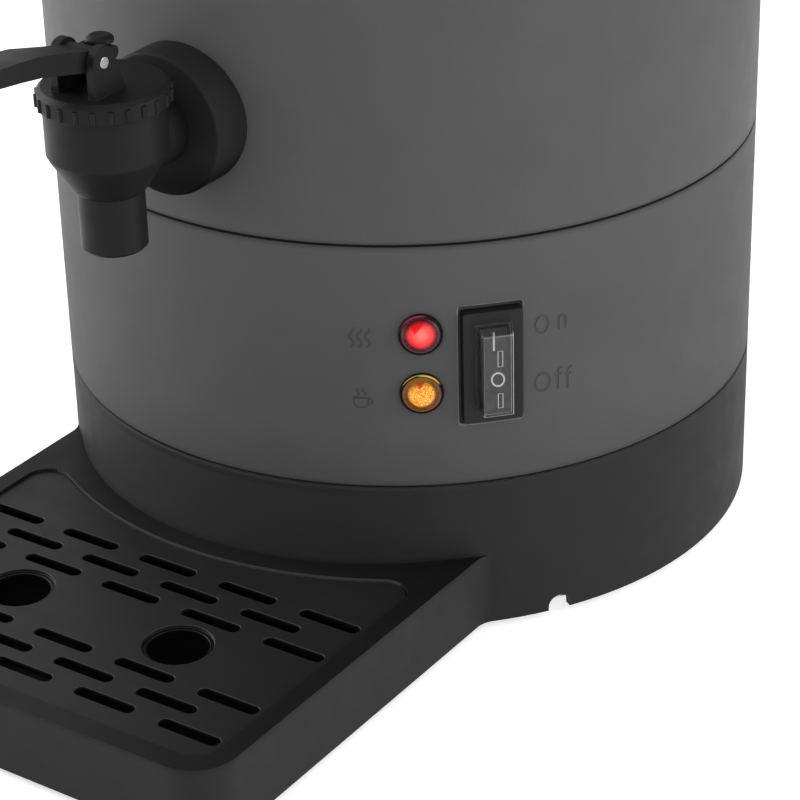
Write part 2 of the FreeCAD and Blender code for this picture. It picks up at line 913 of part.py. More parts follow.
def handle_bearings():
    """Bearings of the four handle screws, from the front round to the right."""
    spread = Size(
        math.degrees(math.asin(s.handle_half.value / s.drum_radius.value)),
        f"asin({s.handle_half.text} / {s.drum_radius.text}) / 1 deg",
    )
    return [90 - spread, 90 + spread, 270 - spread, 270 + spread]


# Tank, heater and the rods that clamp the housing together


def inner_tank():
    body = new_body("inner_tank")
    corner = s.tank_corner
    turned(body, [
        (0, s.tank_floor),
        (tank_radius - corner, s.tank_floor, corner, tank_radius - corner, s.tank_floor + corner),
        (tank_radius, s.tank_floor + corner),
        (tank_radius, collar_top - s.sheet),
        (tank_radius + s.tank_flange, collar_top - s.sheet),
        (tank_radius + s.tank_flange, collar_top),
        (tank_inside, collar_top),
        (tank_inside, s.tank_floor + corner, corner - s.sheet, tank_radius - corner, s.tank_floor + corner),
        (tank_radius - corner, s.tank_floor + s.sheet),
        (0, s.tank_floor + s.sheet),
    ])
    hole = new_sketch(body, "XZ_Plane", tank_radius - s.tank_corner * 2)
    circle(hole, s.shank_radius + s.hole_play, 0, s.tap_level)
    pocket(body, hole, s.tank_corner * 3, away=True)
    return body


def tie_rods():
    rods = []
    nuts = []
    for turn in range(3):
        bearing = as_size(30 + 120 * turn)
        x = rod_circle * cosine(bearing)
        y = rod_circle * sine(bearing)
        foot = s.plate_level - s.nut_height
        rods.append(cylinder(s.rod_radius, s.tank_floor - foot, x, y, foot))
        nut = hexagon(s.nut_size, s.nut_height, x, y, foot)
        nuts.append(cut(nut, cylinder(s.rod_radius, s.nut_height, x, y, foot)))
    keep(group(*rods), "tie_rods")
    keep(group(*nuts), "tie_rod_nuts")


def heat_spreader():
    body = new_body("heat_spreader")
    pad(body, circle(new_sketch(body, lift=spreader_bottom), spreader_radius), s.spreader_height)
    soften(body, s.spreader_height / 4, rim_edge(spreader_radius, spreader_bottom), "Chamfer")
    return body


def heating_element():
    """Ring element under the spreader, with both cold ends bent down."""
    ring = element_circle.value
    bend = s.element_bend.value
    half_gap = math.radians(s.element_gap_angle.value / 2)
    level = (spreader_bottom - s.element_radius).value
    drop = s.element_drop.value

    def on_ring(angle, lower=0.0, ahead=0.0):
        across = Vector(-math.sin(angle), math.cos(angle), 0)
        return Vector(ring * math.cos(angle), ring * math.sin(angle), level - lower) + across * ahead

    slant = bend * (1 - math.sqrt(0.5))
    edges = []
    for angle, way in ((half_gap, -1), (-half_gap, 1)):
        top = on_ring(angle)
        knee = on_ring(angle, slant, way * bend * math.sqrt(0.5))
        low = on_ring(angle, bend, way * bend)
        end = on_ring(angle, bend + drop, way * bend)
        edges.append([Part.LineSegment(end, low).toShape(), Part.Arc(low, knee, top).toShape()])
    around = Part.Arc(on_ring(half_gap), on_ring(math.pi), on_ring(-half_gap)).toShape()
    path = Part.Wire(edges[0] + [around] + edges[1][::-1])
    start = on_ring(half_gap, bend + drop, -bend)
    section = Part.Wire(Part.makeCircle(s.element_radius.value, start, UP))
    tube = doc.addObject("Part::Feature", "heating_element")
    tube.Shape = path.makePipeShell([section], True, True)
    keep(tube, "heating_element")


def thermostats():
    """Bimetal discs held against the spreader, each with two push-on blades."""
    for label, bearing in (("boil_thermostat", 90), ("keep_warm_thermostat", 210), ("dry_boil_cutout", 330)):
        x = s.disc_circle * cosine(bearing)
        y = s.disc_circle * sine(bearing)
        low = spreader_bottom - s.disc_height
        body = cylinder(s.disc_radius, s.disc_height, x, y, low)
        neck = cylinder(s.disc_radius * 0.6, s.disc_height / 2, x, y, low - s.disc_height / 2)
        blades = [
            block(s.blade_thick, s.blade_width, s.blade_length, x + side * s.disc_radius * 0.35, y,
                  low - s.disc_height / 2 - s.blade_length)
            for side in (1, -1)
        ]
        keep(fuse(body, neck, *blades), label)


def terminal_block():
    body = new_body("terminal_block")
    sketch = outline(new_sketch(body), rectangle(s.block_length, s.block_width))
    pad(body, sketch, s.block_height)
    shape = rectangle(s.block_length / 5, s.block_width * 0.6, -s.block_length / 4)
    well = outline(new_sketch(body, lift=s.block_height), shape)
    in_row(body, pocket(body, well, s.block_height * 0.5), s.block_length / 4, 3)
    place(body, -s.block_circle, 0, plate_top)
    return body


def earth_stud():
    stud = cylinder(s.rod_radius, s.block_height, s.block_circle, 0, plate_top)
    nut = hexagon(s.nut_size, s.nut_height, s.block_circle, 0, plate_top)
    keep(fuse(stud, nut), "earth_stud")


def reset_button():
    """Push button of the thermal cut-out, reached through the base plate."""
    housing = cylinder(s.reset_body, s.reset_body_height, 0, s.reset_circle, plate_top)
    bore_length = s.reset_length + s.reset_sunk + 1
    bore = cylinder(s.reset_radius + s.reset_play, bore_length, 0, s.reset_circle, plate_top - 1)
    keep(cut(housing, bore), "reset_housing")
    low = s.plate_level + s.reset_sunk / 4
    keep(cylinder(s.reset_radius, s.reset_length - 1, 0, s.reset_circle, low), "reset_button")


# Top collar and lid


def top_collar():
    body = new_body("top_collar")
    outer = s.drum_radius + s.sheet_play + s.collar_wall
    groove_outer = s.drum_radius + s.sheet_play
    groove_inner = barrel_inside - s.sheet_play
    under = barrel_top
    shelf = tank_radius + s.sheet_play
    inner = tank_radius + s.tank_flange + s.sheet_play
    turned(body, [
        (shelf, under),
        (groove_inner - s.collar_wall, under),
        (groove_inner - s.collar_wall, under - s.collar_height / 2),
        (groove_inner, under - s.collar_height / 2),
        (groove_inner, under),
        (groove_outer, under),
        (groove_outer, collar_top - s.collar_height),
        (outer, collar_top - s.collar_height),
        (outer, collar_top),
        (inner, collar_top),
        (inner, collar_top - s.sheet),
        (shelf, collar_top - s.sheet),
    ])
    soften(body, s.collar_wall * 0.8, rim_edge(outer, collar_top))
    return body


def dome(half_width, low, rise):
    """Radius and centre height of a dome's arc."""
    radius = (half_width * half_width + rise * rise) / (rise * 2)
    return radius, low + rise - radius


def lid():
    body = new_body("lid")
    outer = s.drum_radius - s.lid_inset
    top = collar_top + s.lid_rim
    arc, middle = dome(outer, top, s.lid_rise)
    inner_arc = arc - s.lid_wall
    inside = outer - s.lid_wall
    inner_top = middle + leg(inner_arc, inside)
    plug_low = collar_top - s.plug_depth
    plug_in = plug_radius - s.plug_wall
    plug_top = middle + leg(inner_arc, plug_radius)
    plug_in_top = middle + leg(inner_arc, plug_in)
    turned(body, [
        (0, middle + inner_arc, inner_arc, 0, middle),
        (plug_in, plug_in_top),
        (plug_in, plug_low),
        (plug_radius, plug_low),
        (plug_radius, plug_top, inner_arc, 0, middle),
        (inside, inner_top),
        (inside, collar_top),
        (outer, collar_top),
        (outer, top, arc, 0, middle),
        (0, middle + arc),
    ])
    soften(body, s.lid_rim * 0.5, rim_edge(outer, top))
    high = middle + arc
    hole = circle(new_sketch(body, lift=high), s.screw_radius + s.hole_play)
    pocket(body, hole, s.lid_wall * 3)
    vent = circle(new_sketch(body, lift=high), s.vent_radius, 0, s.vent_circle)
    pocket(body, vent, s.lid_rise)
    return body


def lid_seal():
    """Soft ring round the lid's plug, which rests on the tank's flange."""
    body = new_body("lid_seal")
    outer = plug_radius + s.seal_width + s.tank_flange / 2
    low = collar_top
    turned(body, [
        (plug_radius, low),
        (outer, low),
        (outer, low + s.seal_height * 0.6),
        (plug_radius + s.seal_width, low + s.seal_height),
        (plug_radius, low + s.seal_height),
    ])
    return body


def lid_knob():
    outer = s.drum_radius - s.lid_inset
    arc, middle = dome(outer, collar_top + s.lid_rim, s.lid_rise)
    low = middle + arc
    body = new_body("lid_knob")
    top = low + s.knob_height
    turned(body, [
        (0, low),
        (s.screw_radius, low),
        (s.knob_neck, low),
        (s.knob_neck * 0.8, low + s.knob_height * 0.35),
        (s.knob_radius * 0.9, low + s.knob_height * 0.55),
        (s.knob_radius, low + s.knob_height * 0.75),
        (s.knob_radius * 0.92, top),
        (0, top),
    ])
    soften(body, s.knob_height * 0.08, rim_edge(s.knob_radius * 0.92, top))
    pilot = circle(new_sketch(body, lift=low), s.screw_radius)
    pocket(body, pilot, s.knob_height / 2, away=True)
    under = middle + leg(arc - s.lid_wall, s.screw_head_radius)
    shank = cylinder(s.screw_radius, s.knob_height * 0.45 + s.lid_wall, 0, 0, under)
    head = cylinder(s.screw_head_radius, s.screw_head_height, 0, 0, under - s.screw_head_height)
    keep(fuse(shank, head), "knob_screw")


def handles():
    for label, bearing in (("handle_right", 90), ("handle_left", 270)):
        body = new_body(label)
        reach = s.drum_radius + s.handle_reach - s.handle_depth / 2
        start = s.drum_radius - s.handle_foot_length * 3
        half = s.handle_half
        bend = s.handle_bend
        # The loop, drawn towards -Y and closed only by the wall it stands on
        path = new_sketch(body)
        corners = [
            (-half, -start, None),
            (-half, -(reach - bend), (-half + bend, -(reach - bend))),
            (-half + bend, -reach, None),
            (half - bend, -reach, (half - bend, -(reach - bend))),
            (half, -(reach - bend), None),
            (half, -start, None),
        ]
        rail(path, corners, bend)
        section = new_sketch(body, "XZ_Plane", start)
        outline(section, rectangle(s.handle_depth, s.handle_width, -half, 0, s.handle_depth * 0.42))
        pipe = body.newObject("PartDesign::AdditivePipe", "AdditivePipe")
        pipe.Profile = section
        pipe.Spine = path
        doc.recompute()
        for side in (1, -1):
            foot = circle(new_sketch(body, "XZ_Plane", start), s.handle_foot_radius, side * half, 0)
            pad(body, foot, s.handle_foot_length * 4)
        # The feet follow the drum, and each takes a screw from inside it
        drum = circle(new_sketch(body, lift=s.handle_width), s.drum_radius)
        pocket(body, drum, s.handle_width * 2)
        for index in (0, 1):
            turn = handle_bearings()[index] - 90
            hole = circle(new_sketch(body, "XZ_Plane", s.drum_radius - 1, turn), s.screw_radius)
            pocket(body, hole, s.screw_length, away=True)
        place(body, 0, 0, s.handle_level, Rotation(UP, bearing))
    screws = []
    for bearing in handle_bearings():
        shank_start = -(barrel_inside - s.screw_head_height / 8)
        shank = cylinder(s.screw_radius, s.screw_length, 0, shank_start, 0, FORWARD)
        head_top = barrel_inside - s.screw_head_height / 8
        head_start = -(head_top - s.screw_head_height)
        head = cylinder(s.screw_head_radius, s.screw_head_height, 0, head_start, 0, FORWARD)
        screw = spin(fuse(shank, head), bearing)
        bind(screw, Placement_Base_z=s.handle_level)
        screws.append(screw)
    keep(group(*screws), "handle_screws")


def rail(sketch, corners, bend):
    """An open path of lines and arcs."""
    spots = [Vector(as_size(c[0]).value, as_size(c[1]).value, 0) for c in corners]
    ends = []
    for i, corner in enumerate(corners[:-1]):
        start = spots[i]
        end = spots[i + 1]
        if corner[2] is None:
            line = sketch.addGeometry(Part.LineSegment(start, end))
            ends.append((line, 1, 2))
            continue
        middle = Vector(as_size(corner[2][0]).value, as_size(corner[2][1]).value, 0)
        line = sketch.addGeometry(arc_geometry(start, end, middle, bend.value))
        swapped = sketch.getPoint(line, 1).distanceToPoint(start) > 1e-6
        ends.append((line, 2, 1) if swapped else (line, 1, 2))
    for (line, _, end), (after, start, _) in zip(ends, ends[1:]):
        sketch.addConstraint(Sketcher.Constraint("Coincident", line, end, after, start))
    for corner, (line, start, _) in zip(corners, ends):
        pin_point(sketch, line, start, corner[0], corner[1])
        if corner[2] is not None:
            pin_radius(sketch, line, bend)
    line, _, end = ends[-1]
    pin_point(sketch, line, end, corners[-1][0], corners[-1][1])
    return sketch


# Switch, lamps and inlet, drawn at the front and then turned to their bearings


def switch():
    floor = switch_floor
    face = floor + s.bezel_height
    level = switch_height
    bezel_width = s.recess_width - s.bezel_gap_side * 2
    bezel_length = s.recess_height - s.bezel_gap_end * 2
    pivot = face - s.rocker_pivot_depth

    body = new_body("switch_housing")
    frame = rectangle(bezel_width, bezel_length, 0, level, s.recess_round)
    bezel = outline(new_sketch(body, "XZ_Plane", floor), frame)
    pad(body, bezel, s.bezel_height)
    case = rectangle(case_width, case_length, 0, level)
    sketch = outline(new_sketch(body, "XZ_Plane", floor), case)
    pad(body, sketch, s.switch_body_depth, away=True)
    cavity = outline(new_sketch(body, "XZ_Plane", face), rectangle(cavity_width, cavity_length, 0, level))
    pocket(body, cavity, s.rocker_pivot_depth + s.rocker_belly + s.rocker_play * 4)
    bore = new_sketch(body, "YZ_Plane", -case_width / 2)
    circle(bore, s.rocker_pin_radius, -pivot, level)
    pocket(body, bore, case_width, away=True)
    spin(body, s.switch_angle)

    body = new_body("switch_rocker")
    half = s.rocker_length / 2
    sketch = new_sketch(body, "YZ_Plane", -s.rocker_width / 2, tilt=-s.rocker_tilt)
    tip = s.rocker_valley + s.rocker_rise
    foot = half - s.rocker_undercut
    outline(sketch, [
        (-tip, -half),
        (-s.rocker_shoulder, -foot),
        (s.rocker_belly, -s.rocker_belly),
        (s.rocker_belly, s.rocker_belly),
        (-s.rocker_shoulder, foot),
        (-tip, half),
        (-s.rocker_valley, 0),
    ])
    pad(body, sketch, s.rocker_width)
    bore = circle(new_sketch(body, "YZ_Plane", -s.rocker_width / 2), s.rocker_pin_radius + s.pin_play)
    pocket(body, bore, s.rocker_width, away=True)
    x = pivot * sine(s.switch_angle)
    y = -pivot * cosine(s.switch_angle)
    spin(body, s.switch_angle)
    bind(body, Placement_Base_x=x, Placement_Base_y=y, Placement_Base_z=level)

    pin = cylinder(s.rocker_pin_radius, case_width, -case_width / 2, -pivot, level, SIDEWAYS)
    keep(spin(group(pin), s.switch_angle), "rocker_pin")

    body = new_body("switch_boot")
    width = s.rocker_width + s.boot_side * 2
    length = s.rocker_length + s.boot_end * 2
    top_width = width - s.boot_taper_side * 2
    top_length = length - s.boot_taper_end * 2
    wall = s.boot_wall * 2
    loft(body, "AdditiveLoft", face, s.boot_height, level, (width, length), (top_width, top_length))
    loft(body, "SubtractiveLoft", face, s.boot_height - s.boot_wall, level,
         (width - wall, length - wall), (top_width - wall, top_length - wall))
    spin(body, s.switch_angle)

    blades = []
    back = floor - s.switch_body_depth
    for side in (1, -1):
        for end in (1, -1):
            x = side * case_width / 4
            z = level + end * case_length / 4
            y = -(back - s.blade_length / 2)
            blades.append(block(s.blade_thick, s.blade_length, s.blade_width, x, y, z - s.blade_width / 2))
    keep(spin(group(*blades), s.switch_angle), "switch_terminals")


def loft(body, kind, start, height, level, low, high):
    """Joins two rectangles, the second one further out."""
    near_end = outline(new_sketch(body, "XZ_Plane", start), rectangle(*low, 0, level))
    far_end = outline(new_sketch(body, "XZ_Plane", start + height), rectangle(*high, 0, level))
    return feature(body, kind, near_end, Sections=[far_end])


def lamps():
    rim = s.drum_radius
    seat = rim + s.lamp_rim_height / 2
    lens_radius = s.lamp_radius - s.lamp_rim
    wall = rim - s.band_wall
    nuts = []
    for colour, offset in (("red", s.red_level), ("amber", s.amber_level)):
        level = seam_level + offset
        body = new_body(f"{colour}_lamp_holder")
        turned(body, [
            (0, rim - s.lamp_body_depth),
            (s.lamp_body_radius, rim - s.lamp_body_depth),
            (s.lamp_body_radius, rim),
            (s.lamp_radius, rim),
            (s.lamp_radius, rim + s.lamp_rim_height),
            (lens_radius, rim + s.lamp_rim_height),
            (lens_radius, seat),
            (0, seat),
        ])
        soften(body, s.lamp_rim * 0.5, rim_edge(s.lamp_radius, rim + s.lamp_rim_height))
        towards(body, lamp_angle, level)
        body = new_body(f"{colour}_lamp_lens")
        base = seat + s.lamp_rim_height / 2
        arc, middle = dome(lens_radius, base, s.lens_rise)
        turned(body, [
            (0, seat),
            (lens_radius, seat),
            (lens_radius, base, arc, 0, middle),
            (0, base + s.lens_rise),
        ])
        towards(body, lamp_angle, level)
        across = (s.lamp_body_radius + s.lamp_nut_wall) * 2
        start = -(wall - s.hole_play * 2 - s.lamp_nut_height)
        nut = hexagon(across, s.lamp_nut_height, 0, start, level, FORWARD)
        shaft = cylinder(s.lamp_body_radius, s.lamp_body_depth, 0, -(rim - s.lamp_body_depth), level, FORWARD)
        nuts.append(cut(nut, shaft))
    keep(spin(group(*nuts), lamp_angle), "lamp_nuts")


def towards(body, bearing, level):
    """Lays a piece that was turned about Z along a level line outwards at a bearing."""
    bearing = as_size(bearing)
    facing = Rotation(UP, bearing.value) * FORWARD
    return place(body, 0, 0, level, facing)


def inlet():
    floor = switch_floor
    level = seam_level + s.inlet_level
    face = floor + s.inlet_flange
    body = new_body("inlet_housing")
    flange = rectangle(s.inlet_width, s.inlet_height, 0, level, s.inlet_width / 8)
    pad(body, outline(new_sketch(body, "XZ_Plane", floor), flange), s.inlet_flange)
    shape = rectangle(inlet_body_width, inlet_body_height, 0, level)
    case = outline(new_sketch(body, "XZ_Plane", floor), shape)
    pad(body, case, s.socket_depth - s.inlet_flange + s.inlet_back_wall, away=True)
    half_width = s.socket_width / 2
    half_height = s.socket_height / 2
    trim = s.socket_chamfer
    mouth = outline(new_sketch(body, "XZ_Plane", face), [
        (-half_width, level - half_height),
        (half_width - trim, level - half_height),
        (half_width, level - half_height + trim),
        (half_width, level + half_height - trim),
        (half_width - trim, level + half_height),
        (-half_width, level + half_height),
    ])
    pocket(body, mouth, s.socket_depth)
    for side in (1, -1):
        hole = new_sketch(body, "XZ_Plane", face)
        circle(hole, s.screw_radius + s.hole_play, 0, level + side * s.inlet_screw_gap / 2)
        pocket(body, hole, s.inlet_flange * 2)
    spin(body, 180)
    pins = []
    length = s.socket_depth * 0.75
    middle = face - s.socket_depth + length / 2
    places = (
        (s.earth_offset / 2, 0),
        (-s.earth_offset / 2, s.pin_spread),
        (-s.earth_offset / 2, -s.pin_spread),
    )
    for x, z in places:
        pins.append(block(s.pin_width, length, s.pin_thick, x, -middle, level + z - s.pin_thick / 2))
    keep(spin(group(*pins), 180), "inlet_pins")
    screws = []
    for side in (1, -1):
        z = level + side * s.inlet_screw_gap / 2
        shank = cylinder(s.screw_radius, s.screw_length * 0.8, 0, -(face - s.screw_length * 0.8), z, FORWARD)
        head = cylinder(s.screw_head_radius, s.screw_head_height, 0, -face, z, FORWARD)
        screws.append(fuse(shank, head))
    keep(spin(group(*screws), 180), "inlet_screws")


# Tap


def tap_fittings():
    """Boss outside the drum, and the sleeve, washers and nut that clamp the tap to the tank."""
    body = new_body("tap_boss")
    reach = s.drum_radius + s.tap_boss_reach
    sketch = circle(new_sketch(body, lift=s.drum_radius - s.tap_boss_reach), s.tap_boss_radius)
    circle(sketch, s.shank_radius + s.hole_play)
    pad(body, sketch, s.tap_boss_reach * 2)
    soften(body, s.tap_boss_round, rim_edge(s.tap_boss_radius, reach))
    saddle(body, s.drum_radius)
    place(body, 0, 0, s.tap_level, FORWARD)

    hole = s.shank_radius + s.hole_play
    body = new_body("tap_sleeve")
    outer = tank_radius + s.tap_washer
    sketch = circle(new_sketch(body, lift=outer), s.neck_radius)
    circle(sketch, hole)
    pad(body, sketch, leg(barrel_inside, s.neck_radius) - outer)
    place(body, 0, 0, s.tap_level, FORWARD)

    body = new_body("tap_washer_outer")
    sketch = circle(new_sketch(body, lift=tank_radius - s.tap_washer), s.tap_washer_radius)
    circle(sketch, hole)
    pad(body, sketch, s.tap_washer * 2)
    saddle(body, tank_radius)
    place(body, 0, 0, s.tap_level, FORWARD)

    body = new_body("tap_washer_inner")
    inner = leg(tank_inside, s.tap_washer_radius) - s.tap_washer
    sketch = circle(new_sketch(body, lift=inner), s.tap_washer_radius)
    circle(sketch, hole)
    pad(body, sketch, s.tap_washer * 3)
    # Only what lies inside the tank's wall stays
    ring = new_sketch(body, "XZ_Plane", -s.tap_washer_radius * 2)
    circle(ring, tank_inside)
    circle(ring, tank_inside + s.tap_washer * 4)
    pocket(body, ring, s.tap_washer_radius * 4, away=True)
    place(body, 0, 0, s.tap_level, FORWARD)

    across = (s.shank_radius + s.tap_nut_wall) * 2
    nut = hexagon(across, s.tap_nut_height, 0, -(inner - s.tap_nut_height), s.tap_level, FORWARD)
    shaft = cylinder(s.shank_radius, s.tap_nut_height, 0, -(inner - s.tap_nut_height), s.tap_level, FORWARD)
    keep(cut(nut, shaft), "tap_nut")


def saddle(body, radius):
    """Shapes a fitting's inner end to the cylinder it is clamped on."""
    sketch = circle(new_sketch(body, "XZ_Plane", -radius / 2), radius)
    pocket(body, sketch, radius, away=True)


def tap_body():
    """Shank, neck, valve chamber and spout in one moulding, drawn about the chamber's axis."""
    body = new_body("tap_body")
    top = s.chamber_top
    shoulder = top - s.bonnet_skirt + s.bonnet_top
    collar = bonnet_radius - s.bonnet_wall - s.hole_play
    turned(body, [
        (0, -s.spout_drop),
        (s.spout_radius - 1, -s.spout_drop),
        (s.spout_radius, -s.spout_drop + 1),
        (s.spout_radius, -s.chamber_cone - 2),
        (s.spout_radius + 2, -s.chamber_cone),
        (s.chamber_radius - 1, -1),
        (s.chamber_radius, 1),
        (s.chamber_radius, shoulder),
        (collar, shoulder),
        (collar, top),
        (0, top),
    ])
    neck = circle(new_sketch(body, "XZ_Plane"), s.neck_radius)
    pad(body, neck, s.tap_reach - s.tap_boss_reach, away=True)
    shank = circle(new_sketch(body, "XZ_Plane"), s.shank_radius)
    inner_end = tap_axis - tank_radius + s.shank_inside
    pad(body, shank, inner_end, away=True)
    passage = circle(new_sketch(body, "XZ_Plane"), s.shank_bore)
    pocket(body, passage, inner_end + 1)
    turned(body, [
        (0, -s.seat_drop),
        (s.chamber_bore, -s.seat_drop),
        (s.chamber_bore, top + 1),
        (0, top + 1),
    ], "Groove")
    outlet = circle(new_sketch(body, lift=-s.seat_drop), s.spout_bore)
    pocket(body, outlet, s.spout_drop)
    place(body, 0, -tap_axis, s.tap_level)
    return body


def tap_bonnet():
    """Screw cap of the chamber, with the ears that carry the lever's pin."""
    body = new_body("tap_bonnet")
    top = s.chamber_top
    low = top - s.bonnet_skirt + s.bonnet_top + s.hole_play
    high = top + s.bonnet_top
    collar = bonnet_radius - s.bonnet_wall
    turned(body, [
        (s.stem_radius + s.stem_play, top),
        (collar, top),
        (collar, low),
        (bonnet_radius, low),
        (bonnet_radius, high - 1.5),
        (bonnet_radius - 1.5, high),
        (s.stem_radius + s.stem_play, high),
    ])
    pivot = top + s.pivot_rise
    ear = s.ear_radius
    for side in (1, -1):
        start = ear_inner if side > 0 else -(ear_inner + s.ear_wall)
        sketch = outline(new_sketch(body, "YZ_Plane", start), [
            (-pivot_offset - ear, high - 1),
            (-pivot_offset + ear * 1.8, high - 1),
            (-pivot_offset + ear, pivot, ear, -pivot_offset, pivot),
            (-pivot_offset, pivot + ear, ear, -pivot_offset, pivot),
            (-pivot_offset - ear, pivot),
        ])
        pad(body, sketch, s.ear_wall)
    bore = new_sketch(body, "YZ_Plane", -bonnet_radius)
    circle(bore, s.lever_pin_radius, -pivot_offset, pivot)
    pocket(body, bore, bonnet_radius * 2, away=True)
    place(body, 0, -tap_axis, s.tap_level)
    return body


def tap_lever():
    """Press-down lever: a hub on the pin, a paddle to the front and a fork under the stem's head."""
    body = new_body("tap_lever")
    half = ear_inner - s.lever_play
    hub = circle(new_sketch(body, "YZ_Plane", -half), s.lever_hub)
    pad(body, hub, half * 2)
    # Fork, which reaches back under the stem's head on both sides of the stem
    slim = s.fork_radius
    inner = s.stem_radius + s.fork_play
    for side in (1, -1):
        start = inner if side > 0 else -half
        sketch = outline(new_sketch(body, "YZ_Plane", start), [
            (0, -slim),
            (pivot_offset, -slim, slim, pivot_offset, 0),
            (pivot_offset + slim, 0, slim, pivot_offset, 0),
            (pivot_offset, slim),
            (0, slim),
        ])
        pad(body, sketch, half - inner)
    # Paddle, narrow at the hub and broad at the thumb end
    rise = s.lever_rise
    long = s.lever_length
    thick = s.lever_thick
    profile = outline(new_sketch(body, "YZ_Plane", -s.lever_width / 2), [
        (-s.lever_hub * 0.4, -s.lever_hub * 0.8),
        (-long * 0.45, rise * 0.35),
        (-long, rise),
        (-long - 1.5, rise + thick * 0.45),
        (-long + 1, rise + thick * 0.75),
        (-long * 0.45, rise * 0.35 + thick),
        (-s.lever_hub * 0.4, s.lever_hub * 0.9),
    ])
    pad(body, profile, s.lever_width)
    plan_half = s.lever_width / 2
    trim = new_sketch(body, lift=rise + thick * 2)
    far = s.lever_width
    outline(trim, [
        (half, s.lever_length),
        (half, -long * 0.2),
        (plan_half - 1.5, -long * 0.62),
        (plan_half, -long * 0.85),
        (plan_half * 0.72, -long - 2),
        (far, -long - 2),
        (far, s.lever_length),
    ])
    outline(trim, [
        (-half, s.lever_length),
        (-half, -long * 0.2),
        (-plan_half + 1.5, -long * 0.62),
        (-plan_half, -long * 0.85),
        (-plan_half * 0.72, -long - 2),
        (-far, -long - 2),
        (-far, s.lever_length),
    ])
    pocket(body, trim, (rise + thick) * 4)
    bore = circle(new_sketch(body, "YZ_Plane", -bonnet_radius), s.lever_pin_radius + s.pin_play)
    pocket(body, bore, bonnet_radius * 2, away=True)
    pivot = s.tap_level + s.chamber_top + s.pivot_rise
    place(body, 0, -(tap_axis + pivot_offset), pivot)
    pin_length = (ear_inner + s.ear_wall) * 2
    pin_start = -pin_length / 2
    pin = cylinder(s.lever_pin_radius, pin_length, pin_start, -(tap_axis + pivot_offset), pivot, SIDEWAYS)
    keep(pin, "lever_pin")
    return body


def tap_stem():
    """Stem with the head that the fork lifts, the soft cup on its seat and the closing spring."""
    body = new_body("tap_stem")
    seat = -s.seat_drop
    flange = seat + s.cup_height
    head = s.chamber_top + s.pivot_rise + s.fork_radius + s.fork_play
    turned(body, [
        (0, seat + s.cup_height * 0.4),
        (s.cup_radius * 0.45, seat + s.cup_height * 0.4),
        (s.cup_radius * 0.45, flange),
        (s.cup_radius * 0.8, flange),
        (s.cup_radius * 0.8, flange + s.head_height / 2),
        (s.stem_radius, flange + s.head_height / 2),
        (s.stem_radius, head),
        (s.head_radius, head),
        (s.head_radius, head + s.head_height * 0.6),
        (s.head_radius * 0.7, head + s.head_height),
        (0, head + s.head_height),
    ])
    place(body, 0, -tap_axis, s.tap_level)
    body = new_body("tap_seat_cup")
    turned(body, [
        (0, seat),
        (s.cup_radius, seat),
        (s.cup_radius, seat + s.cup_height * 0.5),
        (s.cup_radius * 0.8, flange),
        (s.cup_radius * 0.45, flange),
        (s.cup_radius * 0.45, seat + s.cup_height * 0.4),
        (0, seat + s.cup_height * 0.4),
    ])
    place(body, 0, -tap_axis, s.tap_level)
    low = flange + s.head_height / 2 + s.spring_wire
    long = s.chamber_top - s.spring_wire - low
    spring = doc.addObject("Part::Feature", "tap_spring")
    spring.Shape = coil(s.spring_radius.value, long.value, s.spring_turns.value, s.spring_wire.value)
    spring.Placement = Placement(Vector(0, -tap_axis.value, (s.tap_level + low).value), Rotation())
    keep(spring, "tap_spring")


def coil(radius, height, turns, wire):
    """One unbroken tube along a helix, which is followed by pairs of arcs over each half turn."""
    pitch = height / turns
    rise = pitch / math.tau

    def on_helix(angle):
        point = Vector(radius * math.cos(angle), radius * math.sin(angle), rise * angle)
        along = Vector(-radius * math.sin(angle), radius * math.cos(angle), rise)
        return point, along.normalize()

    edges = []
    for step in range(round(turns * 2)):
        start, leaving = on_helix(math.pi * step)
        end, arriving = on_helix(math.pi * (step + 1))
        span = end - start
        tangents = leaving + arriving
        spread = 2 * (1 - leaving.dot(arriving))
        across = span.dot(tangents)
        reach = (math.sqrt(across ** 2 + spread * span.dot(span)) - across) / spread
        joint = (start + leaving * reach + end - arriving * reach) / 2
        edges.append(arc_from(start, leaving, joint))
        edges.append(arc_from(end, -arriving, joint, backwards=True))
    middle, along = on_helix(0)
    across = along.cross(Vector(1, 0, 0))
    rim = [
        middle + (Vector(1, 0, 0) * math.cos(math.tau * i / 8) + across * math.sin(math.tau * i / 8)) * wire
        for i in range(9)
    ]
    section = Part.makePolygon(rim)
    return Part.Wire(edges).makePipeShell([section], True, False)


def arc_from(start, along, end, backwards=False):
    """An arc that leaves its first point along a given direction."""
    chord = end - start
    side = chord - along * chord.dot(along)
    radius = chord.dot(chord) / (2 * side.Length)
    centre = start + side.normalize() * radius
    half_way = (start + end) / 2 - centre
    if half_way.Length < 1e-9:
        half_way = along
    middle = centre + half_way.normalize() * radius
    return Part.Arc(end, middle, start).toShape() if backwards else Part.Arc(start, middle, end).toShape()


# Drip tray and grille


def drip_tray():
    body = new_body("drip_tray")
    play = s.tray_play
    outer = outline(new_sketch(body, lift=tray_bottom), well_outline(play))
    pad(body, outer, grille_bottom - tray_bottom)
    basin = outline(new_sketch(body, lift=grille_bottom), well_outline(play + s.tray_wall))
    pocket(body, basin, grille_bottom - tray_bottom - s.tray_floor)
    return body


